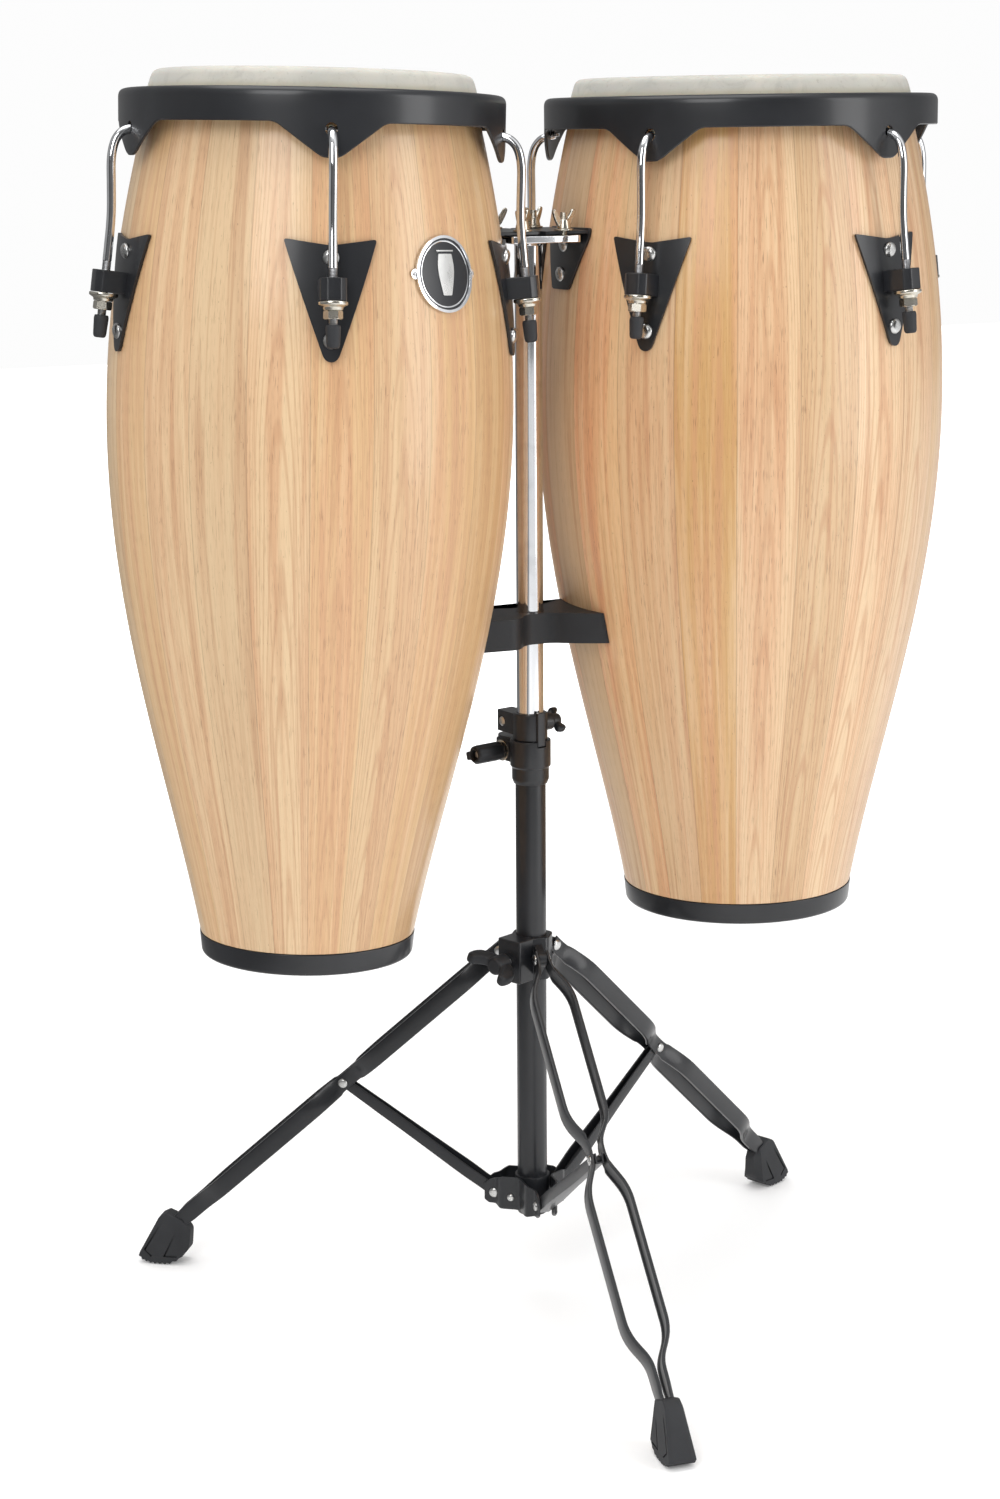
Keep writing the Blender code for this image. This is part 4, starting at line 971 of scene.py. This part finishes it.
def make_saddle(drums):
    """The plastic block that steadies both shells against the post."""
    waist = 0.0168
    rings = []
    for level in (SADDLE_LOW, SADDLE_TOP):
        ends = []
        for drum, half in zip(drums, SADDLE_HALVES):
            height = drum_height_at(drum, level)
            centre = drum["frame"] @ Vector((0, 0, height)) - POST
            radius = drum["radius"](height) + 0.0008
            spread = asin(half / radius)
            facing = 0.0 if centre.x < 0 else pi
            ends.append(arc(centre, radius, facing + spread, facing - spread, 14))
        left, right = ends
        (near_x, near_y), (far_x, far_y) = left[-1], right[0]
        lower = [(near_x + 0.0002, near_y, 0), (near_x + 0.004, near_y + 0.0002, 0.004),
                 (-0.0255, -0.0345, 0.008), (-0.0125, -waist, 0.009), (0.0120, -waist, 0.008),
                 (0.0250, -0.0265, 0.010), (far_x - 0.004, far_y + 0.0002, 0.004),
                 (far_x - 0.0002, far_y, 0)]
        lower = rounded(lower, 5, closed=False)
        upper = [(x, -y) for x, y in reversed(lower)]
        rings.append([(x, y, level) for x, y in left + lower + right + upper])
    saddle = from_rings("saddle_block", rings, closed=False)
    cut(saddle, [plug(POST_R + PLAY, SADDLE_LOW - 0.01, SADDLE_TOP + 0.01)])
    show(bevel(saddle, 0.0009, angle=50), "upper", "plastic", STAND, "saddle")


def axis_turn(joint):
    """Turn about Z that lays X along a level joint axis."""
    axis = joint_axis(joint)
    return turn_z(atan2(axis.y, axis.x))


def bolt_frame(joint):
    """Frame of a hand bolt: Z points out along its axis."""
    return Matrix.Translation(joint_point(joint)) @ axis_turn(joint) @ turn_y(pi / 2)


def ear_frame():
    """Frame of the clamp's ears: X points along them."""
    return STAND @ axis_turn("collar_bolt_turn") @ turn_z(-pi / 2)


def make_memory_lock():
    bore = POST_R + PLAY
    outline = rounded([(bore, LOCK_LOW, 0), (0.0147, LOCK_LOW, 0.0006), (0.0147, LOCK_TOP, 0.0012),
                       (bore, LOCK_TOP, 0.0004)], 4)
    show(lathe("memory_ring", outline, 64), "upper", "satin_black", STAND, "memory_lock")
    cheek = rounded([(0.0110, -0.0062, 0), (0.0318, -0.0062, 0.0016), (0.0318, 0.0106, 0.0016),
                     (0.0040, 0.0130, 0.002), (0.0030, 0.0120, 0)], 4)
    cheek_block = slab("memory_block", cheek, LOCK_LOW + 0.0036, LOCK_TOP - 0.0010)
    show(bevel(cheek_block, 0.0010, 3), "upper", "satin_black", ear_frame())
    seat = ear_frame() @ shift(0.0240, 0.0108, (LOCK_LOW + LOCK_TOP) / 2 + 0.0012) @ turn_x(-pi / 2)
    show(dome_bolt("memory_block_bolt", 0.0042, 0.0016, 28), "upper", "rivet", seat)
    # A thin flat ring round the bolt head, near black: painted shade for a recess round the bolt, not a
    # real part
    painted_shade_ring = rounded([(0.0042, -0.0004, 0), (0.0056, -0.0004, 0), (0.0056, 0.0004, 0.0003),
                   (0.0042, 0.0004, 0.0003)], 2)
    show(lathe("memory_bolt_painted_shade", painted_shade_ring, 32), "upper", "painted_shade", seat)
    key = rounded([(0.0128, -0.0040, 0), (0.0168, -0.0040, 0.0008), (0.0168, 0.0040, 0.0008),
                   (0.0128, 0.0040, 0)], 3)
    bar = slab("memory_key", key, COLLAR_TOP - 0.0040, LOCK_TOP + 0.0018)
    show(bevel(bar, 0.0007), "upper", "satin_black", STAND @ turn_z(KEY_AZIMUTH))
    boss_at = bolt_frame("lock_bolt_turn")
    boss_at.translation = (POST.x, POST.y, boss_at.translation.z)
    boss = plain_ring("memory_boss", 0.0036, 0.0078, 0.0100, 0.0200, (0, 0.0010), 4, 36)
    show(boss, "upper", "satin_black", boss_at)


def make_wing_bolt(joint, name, body, finish, spin, *,
                   shank, shank_r, neck, hub, hub_r, wing, thick, low, high):
    """A wing bolt: a hub between two thick rounded wings, on a threaded shank."""
    end = neck + hub
    place = bolt_frame(joint) @ turn_z(spin)
    core = rounded([(0.0, neck + 0.0004, 0), (hub_r, neck + 0.0004, 0.0008),
                    (hub_r * 0.92, end, hub_r * 0.35), (0.0, end, 0)], 6, closed=False)
    pieces = [lathe("core", core, 32)]
    for side in (1, -1):
        outline = [(hub_r * 0.2, neck + 0.0010, 0), (hub_r, neck + 0.0010, hub_r * 0.5),
                   (wing * 0.90, low, wing * 0.20), (wing, (low + high) / 2, wing * 0.16),
                   (wing * 0.96, high, wing * 0.18), (wing * 0.66, high, wing * 0.18),
                   (hub_r * 0.95, end - 0.0012, hub_r * 0.7), (hub_r * 0.2, end - 0.0008, 0)]
        outline = rounded([(side * x, y, soft) for x, y, soft in outline], 6)
        plate = slab("wing", outline, -thick / 2, thick / 2)
        pieces.append(bevel(moved(plate, turn_x(pi / 2)), thick * 0.30, 3))
    show(joined(name + "_head", pieces), body, finish, place, name)
    show(threaded_rod(name + "_shank", shank_r, -shank, neck + 0.001), body, "thread", place)


# ================================================================ the lower half of the stand
def make_base_tube():
    low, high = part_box("base_tube")
    outline = rounded([(TUBE_R, low.z, 0.0006), (TUBE_R, high.z, 0.0006), (TUBE_BORE, high.z, 0.0002),
                       (TUBE_BORE, low.z, 0.0002)], 3)
    show(lathe("black_tube", outline, 72), "base", "satin_black", STAND, "base_tube")


def make_clamp_collar():
    bore = TUBE_R + PLAY
    profile = [(bore, COLLAR_LOW, 0), (0.0143, COLLAR_LOW, 0.0006),
               (0.0159, COLLAR_LOW + 0.0040, 0.0010), (0.0159, 0.4780, 0.0006),
               (0.0174, 0.4797, 0.0006), (0.0174, COLLAR_TOP, 0.0008), (bore, COLLAR_TOP, 0)]
    sleeve = lathe("collar_sleeve", rounded(profile, 4), 72)
    slot = block("slot", (0.0120, -0.0046, COLLAR_TOP - 0.0048), (0.0200, 0.0046, COLLAR_TOP + 0.01))
    cut(sleeve, [moved(slot, turn_z(KEY_AZIMUTH))])
    show(sleeve, "base", "satin_black", STAND, "clamp_collar")
    root, tip, lip_low, lip_half = 0.0080, TEE_REACH + 0.0060, COLLAR_TOP - 0.0030, EAR_HALF + 0.0010
    lip = rounded([(root, -lip_half, 0), (tip, -lip_half, 0.009), (tip + EAR_HALF, 0.0, 0.008),
                   (tip, lip_half, 0.009), (root, lip_half, 0)], 6)
    lip_plate = slab("collar_lip", lip, lip_low, COLLAR_TOP - 0.0002)
    show(bevel(lip_plate, 0.0008), "base", "satin_black", ear_frame())
    for label, side in (("near", 1), ("far", -1)):
        gap, outside = side * 0.0012, side * EAR_HALF
        outline = rounded([(0.0100, gap, 0), (tip + 0.0060, gap, 0.002), (tip + 0.0040, outside, 0.004),
                           (0.0100, outside * 1.15, 0)], 5)
        ear = slab("collar_ear_" + label, outline, 0.4805, lip_low)
        show(bevel(ear, 0.0012, 3), "base", "satin_black", ear_frame())


def make_tee_bolt():
    """A grip with shallow flats, its recessed end and the bar through it."""
    place = bolt_frame("collar_bolt_turn")
    recess = 0.0270
    stations = rounded([(0.0, 0.0012, 0), (0.0070, 0.0012, 0.0010), (0.0083, 0.0050, 0.0020),
                        (0.0083, 0.0290, 0.0020), (0.0064, 0.0310, 0.0010), (0.0048, 0.0310, 0.0006),
                        (0.0044, recess, 0), (0.0, recess, 0)], 4, closed=False)
    outlines = []
    for turn in full_turn(64):
        lobes = 1.0 - 0.055 * (0.5 - 0.5 * cos(8 * turn))
        outlines.append([about(r * (lobes if r > 0.006 else 1.0), turn, z) for r, z in stations])
    show(pole_skin("tee_grip", outlines), "collar_bolt", "plastic", place, "clamp_t_bolt")
    shank = threaded_rod("tee_shank", 0.0030, -2 * EAR_HALF, 0.002)
    show(shank, "collar_bolt", "thread", place)
    tip = dome_bolt("tee_tip", 0.0030, 0.0010, 20)
    show(tip, "collar_bolt", "thread", place @ shift(0, 0, recess + 0.0002))
    washer = plain_ring("tee_washer", 0.0032, 0.0092, 0.0, 0.0011, (0.0003, 0.0004), 2, 40)
    show(washer, "collar_bolt", "zinc", place)
    bar = block("tee_bar", (0.0050, -0.0038, 0.0205), (0.0165, 0.0038, 0.0272))
    show(bevel(bar, 0.0016, 3), "collar_bolt", "satin_black", place @ turn_z(radians(-75)))


def rivet_pair(name, body, place, reach, radius=RIVET_R):
    """Two domed rivet heads, back to back on Y, at a distance from the frame's origin."""
    for label, side in (("a", 1), ("b", -1)):
        head = dome_bolt("%s_%s" % (name, label), radius, radius * 0.38, 24)
        seat = place @ shift(0, side * reach, 0) @ turn_x(-side * pi / 2)
        show(head, body, "rivet", seat)


def cross_screw(name, radius):
    """A domed screw head with a cross recess."""
    head = dome_bolt(name, radius, radius * 0.5, 28)
    long, half = radius * 0.62, radius * 0.16
    slots = [block("slot", (-long, -half, radius * 0.22), (long, half, radius)) for _ in range(2)]
    moved(slots[1], turn_z(pi / 2))
    return cut(head, slots)


def upright_frame(azimuth):
    """Frame of a leg's vertical plane: X outwards from the post, Y to the left, Z up."""
    return STAND @ turn_z(azimuth)


def make_leg_hub():
    start = polar("leg_fold_1")[0] + pi / 6
    corners = [about(HUB_FLAT / cos(pi / 6), start + turn, 0.0) for turn in full_turn(6)]
    hexagon = slab("hub_body", rounded([(x, y, 0.0030) for x, y, _ in corners], 4), HUB_LOW, HUB_TOP)
    nose_at = STAND @ axis_turn("hub_bolt_turn")
    half, face = 0.0126, HUB_FACE - 0.0004
    outline = rounded([(0.0, -half, 0), (face, -half, 0.0016), (face, half, 0.0016), (0.0, half, 0)], 4)
    nose = slab("hub_nose", outline, HUB_LOW + 0.0004, HUB_TOP + 0.0002)
    for solid, soft, place, replaces in ((hexagon, 0.0012, STAND, "leg_hub"),
                                         (nose, 0.0010, nose_at, None)):
        tool = plug(TUBE_R + 0.0003, HUB_LOW - 0.01, HUB_TOP + 0.01)
        show(cut(applied(bevel(solid, soft, 3)), [tool]), "hub", "satin_black", place, replaces)
    for leg in LEGS:
        azimuth, radius, height = polar("leg_fold_%d" % leg)
        root, low, high = 0.0140, HUB_LOW + 0.0025, HUB_TOP - 0.0043
        outline = [(root, low)] + arc((radius, height), 0.0066, -pi / 2, pi / 2, 10) + [(root, high)]
        lug = moved(slab("hub_lug_%d" % leg, outline, -HUB_LUG / 2, HUB_LUG / 2), turn_x(pi / 2))
        show(bevel(lug, 0.0008), "hub", "satin_black", upright_frame(azimuth))
    seat = nose_at @ shift(face - 0.0004, 0, joint_point("hub_bolt_turn").z) @ turn_y(pi / 2)
    seat_ring = plain_ring("hub_bolt_seat", 0.0036, 0.0085, 0.0, 0.0010, (0.0004, 0.0003), 2, 36)
    show(seat_ring, "hub", "satin_black", seat)


def make_foot_spider():
    soft = (0.0006, 0.0006)
    ring = plain_ring("spider_ring", TUBE_R + PLAY, 0.0152, SPIDER_LOW, SPIDER_TOP, soft, 3, 64)
    show(ring, "base", "satin_black", STAND, "foot_spider")
    for leg in LEGS:
        azimuth, radius, height = polar("brace_fold_%d" % leg)
        upright = upright_frame(azimuth)
        pivot = upright @ shift(radius, 0, height)
        rivet_pair("spider_rivet_%d" % leg, "base", pivot, CHEEK_IN + CHEEK_THICK, 0.0044)
        seat = upright @ shift(0.0165, WRAP_IN + CHEEK_THICK, height - 0.0010) @ turn_x(-pi / 2)
        show(cross_screw("spider_screw_%d" % leg, 0.0033), "base", "rivet", seat)
        sheet = spider_sheet("spider_sheet_%d" % leg, radius + 0.0085)
        show(sheet, "base", "satin_black", upright)


def spider_sheet(name, end):
    """A bent sheet from one leg's brace pivot, round the tube, to the next leg's pivot."""
    third = 2 * pi / 3
    mid, wrap_mid = CHEEK_IN + CHEEK_THICK / 2, WRAP_IN + CHEEK_THICK / 2
    plan = [(end, mid, 0), (0.0310, mid, 0.0030), (0.0255, wrap_mid, 0.0030)]
    bend = (wrap_mid / sin(third / 2) * cos(third / 2), wrap_mid, 0.0040)
    mirrored = [(x * cos(third) + y * sin(third), x * sin(third) - y * cos(third), soft)
                for x, y, soft in reversed(plan)]
    path = densified(rounded(plan + [bend] + mirrored, 4, closed=False), 0.0010)
    rings = []
    for i, (x, y) in enumerate(path):
        out = across_at(path, i) * CHEEK_THICK / 2
        reach = max(x, x * cos(third) + y * sin(third))
        low = np.interp(reach, (0.026, 0.031, end - 0.004, end), (0.0800, 0.0822, 0.0824, 0.0855))
        high = np.interp(reach, (0.024, 0.030, end - 0.005, end), (0.1094, 0.1062, 0.1040, 0.1000))
        rings.append([(x + out.x, y + out.y, low), (x - out.x, y - out.y, low),
                      (x - out.x, y - out.y, high), (x + out.x, y + out.y, high)])
    return from_rings(name, rings, closed=False)


def strip_stations():
    """Distance along the leg, offset of the web, depth of the flanges and half width."""
    pinched, bowed = HUB_LUG / 2 + LUG_PLAY + STRIP_THICK / 2, 0.0185
    path = rounded([(-0.0045, pinched, 0), (0.0110, pinched, 0.008), (0.0360, bowed, 0.012),
                    (0.1570, bowed, 0.012), (0.1780, pinched + 0.0008, 0.008),
                    (0.1975, pinched + 0.0008, 0.008), (0.2240, bowed, 0.012),
                    (0.3500, bowed, 0.012), (0.3740, 0.0054, 0.008), (0.4230, 0.0048, 0)], 5,
                   closed=False)
    stations = []
    for x, y in densified(path, 0.004):
        gap = min(abs(x - 0.001) - 0.0120, abs(x - 0.1875) - 0.0105)
        share = clamped(gap / 0.0040)
        share = share * share * (3 - 2 * share)
        tuck = clamped((x - 0.395) / 0.008)
        stations.append((x, y, 0.0003 + 0.0012 * share, 0.0068 + 0.0011 * share - 0.0012 * tuck))
    return stations


def make_strip(name, side):
    """One pressed channel of a leg, its flanges turned in towards its twin."""
    stations = strip_stations()
    out, metal = STRIP_THICK / 2, STRIP_THICK
    rings = []
    for i, (x, y, flange, half) in enumerate(stations):
        across = across_at(stations, i)
        inner = -out - flange
        section = rounded([(out, -half, 0.0014), (out, half, 0.0014), (inner, half, 0.0003),
                           (inner, half - metal, 0.0003), (-out, half - metal, 0.0004),
                           (-out, metal - half, 0.0004), (inner, metal - half, 0.0003),
                           (inner, -half, 0.0003)], 2)
        rings.append([(x + across.x * a, side * (y + across.y * a), up) for a, up in section])
    return from_rings(name, rings, closed=False)


def boot_outline():
    """Side view of a boot in (distance from the post, height), with a scalloped sole edge."""
    base = rounded([(0.3385, 0.0478, 0.0010), (0.3455, 0.0440, 0.0016), (0.3664, 0.0080, 0.0024),
                    (0.3622, 0.0028, 0.0020), (0.3530, 0.0, 0.0020), (0.3370, 0.0, 0.0030),
                    (0.3262, 0.0050, 0.0040), (0.3186, 0.0140, 0.0030), (0.3164, 0.0330, 0.0030),
                    (0.3226, 0.0412, 0.0030)], 4)
    scalloped, middle_x = 0.0105, 0.335
    out = []
    for here, following in zip(base, base[1:] + base[:1]):
        if max(here[1], following[1]) >= scalloped:
            out.append(here)
            continue
        for x, y in densified([here, following], 0.0007)[:-1]:
            dent = SCALLOP_DEEP * (0.5 - 0.5 * cos(2 * pi * (x + y * 0.5) / SCALLOP_LONG))
            share = min(1.0, y / 0.0060)
            side = 1.0 if x < middle_x else -1.0
            out.append((x + dent * share * side, y + dent * (1.0 - share)))
    return out


def boot_half(height):
    """Half the width of a boot, which narrows upwards."""
    return 0.0124 - 0.110 * height


def make_boot(name, to_leg):
    """Rings across the boot: its sides are chamfered, and more so towards the post."""
    outline = boot_outline()
    centre = Vector((0.3430, 0.0240))
    rings = []
    for side, edge, inset, start in ((-1, 0.0, 0.0008, 0.3240), (-1, 0.0008, 0.0, 0.3228),
                                     (-1, 0.0042, 0.0, 0.0), (1, 0.0042, 0.0, 0.0),
                                     (1, 0.0008, 0.0, 0.3228), (1, 0.0, 0.0008, 0.3240)):
        ring = []
        for point in outline:
            away = Vector(point) - centre
            x, z = centre + away * (1.0 - inset / away.length)
            ring.append((max(x, start), side * (boot_half(z) - edge), z))
        rings.append(ring)
    boot = from_rings(name, rings, closed=False)
    cutters = []
    lines = (((0.3415, 0.0415), (0.3590, 0.0125)), ((0.3590, 0.0125), (0.3530, 0.0070)),
             ((0.3300, 0.0290), (0.3405, 0.0075)), ((0.3405, 0.0075), (0.3290, 0.0080)))
    for side in (-1, 1):
        for (x0, z0), (x1, z1) in lines:
            length = hypot(x1 - x0, z1 - z0)
            groove = block("groove", (-0.0006, -0.0040, -0.0008), (length + 0.0006, 0.0040, 0.0008))
            face = side * (boot_half((z0 + z1) / 2) + 0.0028)
            cutters.append(moved(groove, shift(x0, face, z0) @ turn_y(-atan2(z1 - z0, x1 - x0))))
    return moved(cut(boot, cutters), to_leg)


def make_leg(leg):
    azimuth, radius, height = polar("leg_fold_%d" % leg)
    run, drop = LEG_PIVOT[0] - radius, height - LEG_PIVOT[1]
    upright = shift(radius, 0, height) @ turn_y(atan2(drop, run))
    place = upright_frame(azimuth) @ upright
    body = "leg_%d" % leg
    show(make_strip(body + "_strip_a", 1), body, "satin_black", place, body)
    show(make_strip(body + "_strip_b", -1), body, "satin_black", place)
    show(make_boot(body + "_boot", upright.inverted()), body, "rubber", place)
    rivet_pair(body + "_hub_rivet", body, place, HUB_LUG / 2 + LUG_PLAY + STRIP_THICK)
    pivot = place @ shift(hypot(run, drop), 0, 0)
    rivet_pair(body + "_brace_rivet", body, pivot, HUB_LUG / 2 + 0.0014 + STRIP_THICK, 0.0043)
    spacer = rounded([(0.0, -0.0046, 0), (0.0030, -0.0046, 0.0004), (0.0030, 0.0046, 0.0004),
                      (0.0, 0.0046, 0)], 2, closed=False)
    show(lathe(body + "_spacer", spacer, 24), body, "plastic", pivot @ turn_x(pi / 2))


def make_brace(leg):
    """An upturned channel, narrowed at both ends."""
    azimuth, radius, height = polar("brace_fold_%d" % leg)
    rise, run = LEG_PIVOT[1] - height, LEG_PIVOT[0] - radius
    long = hypot(rise, run)
    place = upright_frame(azimuth) @ shift(radius, 0, height) @ turn_y(-atan2(rise, run))
    path = rounded([(-0.0065, 0.0060, 0), (0.0140, 0.0060, 0.006), (0.0300, 0.0070, 0.010),
                    (0.1000, 0.0040, 0.020), (long + 0.0050, 0.0036, 0)], 6, closed=False)
    rings = []
    metal = 0.0015
    for x, half in path:
        wall = 0.0052 if x < long - 0.006 else 0.0045
        section = rounded([(-half, wall, 0.0003), (-half, -wall, 0.0012), (half, -wall, 0.0012),
                           (half, wall, 0.0003), (half - metal, wall, 0.0003),
                           (half - metal, metal - wall, 0.0005), (metal - half, metal - wall, 0.0005),
                           (metal - half, wall, 0.0003)], 2)
        rings.append([(x, y, z) for y, z in section])
    channel = from_rings("brace_channel_%d" % leg, rings, closed=False)
    show(channel, "brace_%d" % leg, "satin_black", place, "brace_%d" % leg)


# ================================================================ studio
WHITE = 0.98
LEFTWARDS = (-0.907, 0.42)                # level unit vector to the left as seen from the front


def make_camera():
    turn, pitch, roll = radians(65.124), radians(12.855), radians(-0.40)
    forward = Vector((cos(pitch) * cos(turn), cos(pitch) * sin(turn), -sin(pitch)))
    right = forward.cross(Vector((0, 0, 1))).normalized()
    up = right.cross(forward)
    across = right * cos(roll) + up * sin(roll)
    over = up * cos(roll) - right * sin(roll)
    data = bpy.data.cameras.new("camera")
    data.sensor_width = 36.0
    data.lens = 68.85
    camera = new_object("camera", data)
    camera.matrix_world = Matrix((across, over, -forward)).transposed().to_4x4()
    camera.location = POST + Vector((-1.0263, -2.1517, 1.037))
    bpy.context.scene.camera = camera


def area_light(name, place, target, size, power):
    data = bpy.data.lights.new(name, "AREA")
    data.shape = "RECTANGLE"
    data.size, data.size_y = size
    data.energy = power
    light = new_object(name, data)
    light.location = place
    light.rotation_euler = (Vector(target) - Vector(place)).to_track_quat("-Z", "Y").to_euler()


def towards(tree, axes, x, y):
    """How far a place or a direction lies towards a level unit vector (x, y)."""
    return plus(tree, times(tree, axes[0], x), times(tree, axes[1], y))


def floor_material():
    """Pale, and white far off; polished metal sees a darker floor on its left."""
    made, tree, shader = graph("pale_floor", Roughness=0.7, Emission_Color=(1, 1, 1, 1))
    rays = node(tree, "ShaderNodeLightPath").outputs
    point = object_point(tree)
    aside = towards(tree, axes_of(tree, point), *LEFTWARDS)
    dim = times(tree, rays["Is Glossy Ray"], span(tree, aside, 0.05, 0.9))
    tree.links.new(grey(tree, span(tree, dim, 0.0, 1.0, 0.93, 0.16)), shader.inputs["Base Color"])
    away = node(tree, "ShaderNodeVectorMath", {0: point}, operation="LENGTH").outputs["Value"]
    far = times(tree, rays["Is Camera Ray"], span(tree, away, 1.2, 2.6, 0.0, 0.8))
    glow = plus(tree, span(tree, dim, 0.0, 1.0, 0.10, 0.0), far)
    tree.links.new(glow, shader.inputs["Emission Strength"])
    return made


def make_studio():
    """A white room that darkens towards the front; polished metal also sees a darker back and left."""
    scene = bpy.context.scene
    scene.view_settings.view_transform = "Standard"
    scene.world = bpy.data.worlds.new("studio")
    scene.world.use_nodes = True
    tree = scene.world.node_tree
    background = tree.nodes["Background"]
    way = axes_of(tree, node(tree, "ShaderNodeTexCoord").outputs["Generated"])
    rays = node(tree, "ShaderNodeLightPath").outputs
    front = towards(tree, way, -0.42, -0.91)
    shade = span(tree, front, 0.42, 0.78, WHITE, 0.14)
    dim = calc(tree, "MAXIMUM", span(tree, front, 0.10, -0.45, 0.0, 0.72),
               span(tree, towards(tree, way, *LEFTWARDS), 0.2, 0.6, 0.0, 0.62))
    dim = times(tree, rays["Is Glossy Ray"], dim)
    shade = times(tree, shade, calc(tree, "SUBTRACT", 1.0, dim))
    shade = calc(tree, "MAXIMUM", shade, times(tree, rays["Is Camera Ray"], WHITE))
    tree.links.new(grey(tree, shade), background.inputs["Color"])
    background.inputs["Strength"].default_value = 1.0
    area_light("key", (-2.0, -1.9, 2.3), (0, 0, 0.7), (1.4, 1.8), 42)
    area_light("fill", (1.6, -2.0, 1.2), (0, 0, 0.6), (1.0, 2.0), 22)
    area_light("top", (-0.3, 0.2, 3.0), (-0.1, 0, 0.5), (2.0, 2.0), 28)
    floor = block("floor", (-9, -9, -0.02), (9, 9, -0.0005))
    floor.data.materials.append(floor_material())


def main():
    quinto = read_drum("quinto", "quinto_wood")
    conga = read_drum("conga", "conga_wood")
    for drum in (quinto, conga):
        make_shell(drum)
        make_bottom_ring(drum)
        make_head(drum)
        make_rim(drum)
        make_side_plates(drum)
        make_tuning(drum)
        make_mount_bracket(drum)
    make_badge(quinto, quinto["lugs"][3] + pi / LUG_COUNT - 0.012)
    make_upper_post()
    make_wing_nuts()
    make_saddle((quinto, conga))
    make_memory_lock()
    make_wing_bolt("lock_bolt_turn", "memory_wing_bolt", "lock_bolt", "satin_black", radians(-48),
                   shank=0.0070, shank_r=0.0030, neck=0.0, hub=0.0080, hub_r=0.0058,
                   wing=0.0120, thick=0.0066, low=0.0010, high=0.0096)
    make_base_tube()
    make_clamp_collar()
    make_tee_bolt()
    make_leg_hub()
    make_wing_bolt("hub_bolt_turn", "hub_wing_bolt", "hub_bolt", "plastic", radians(69),
                   shank=0.0110, shank_r=0.0034, neck=0.0045, hub=0.0150, hub_r=0.0085,
                   wing=0.0232, thick=0.0095, low=0.0140, high=0.0308)
    make_foot_spider()
    for leg in LEGS:
        make_leg(leg)
        make_brace(leg)
    make_camera()
    make_studio()


main()
bpy.context.view_layer.update()
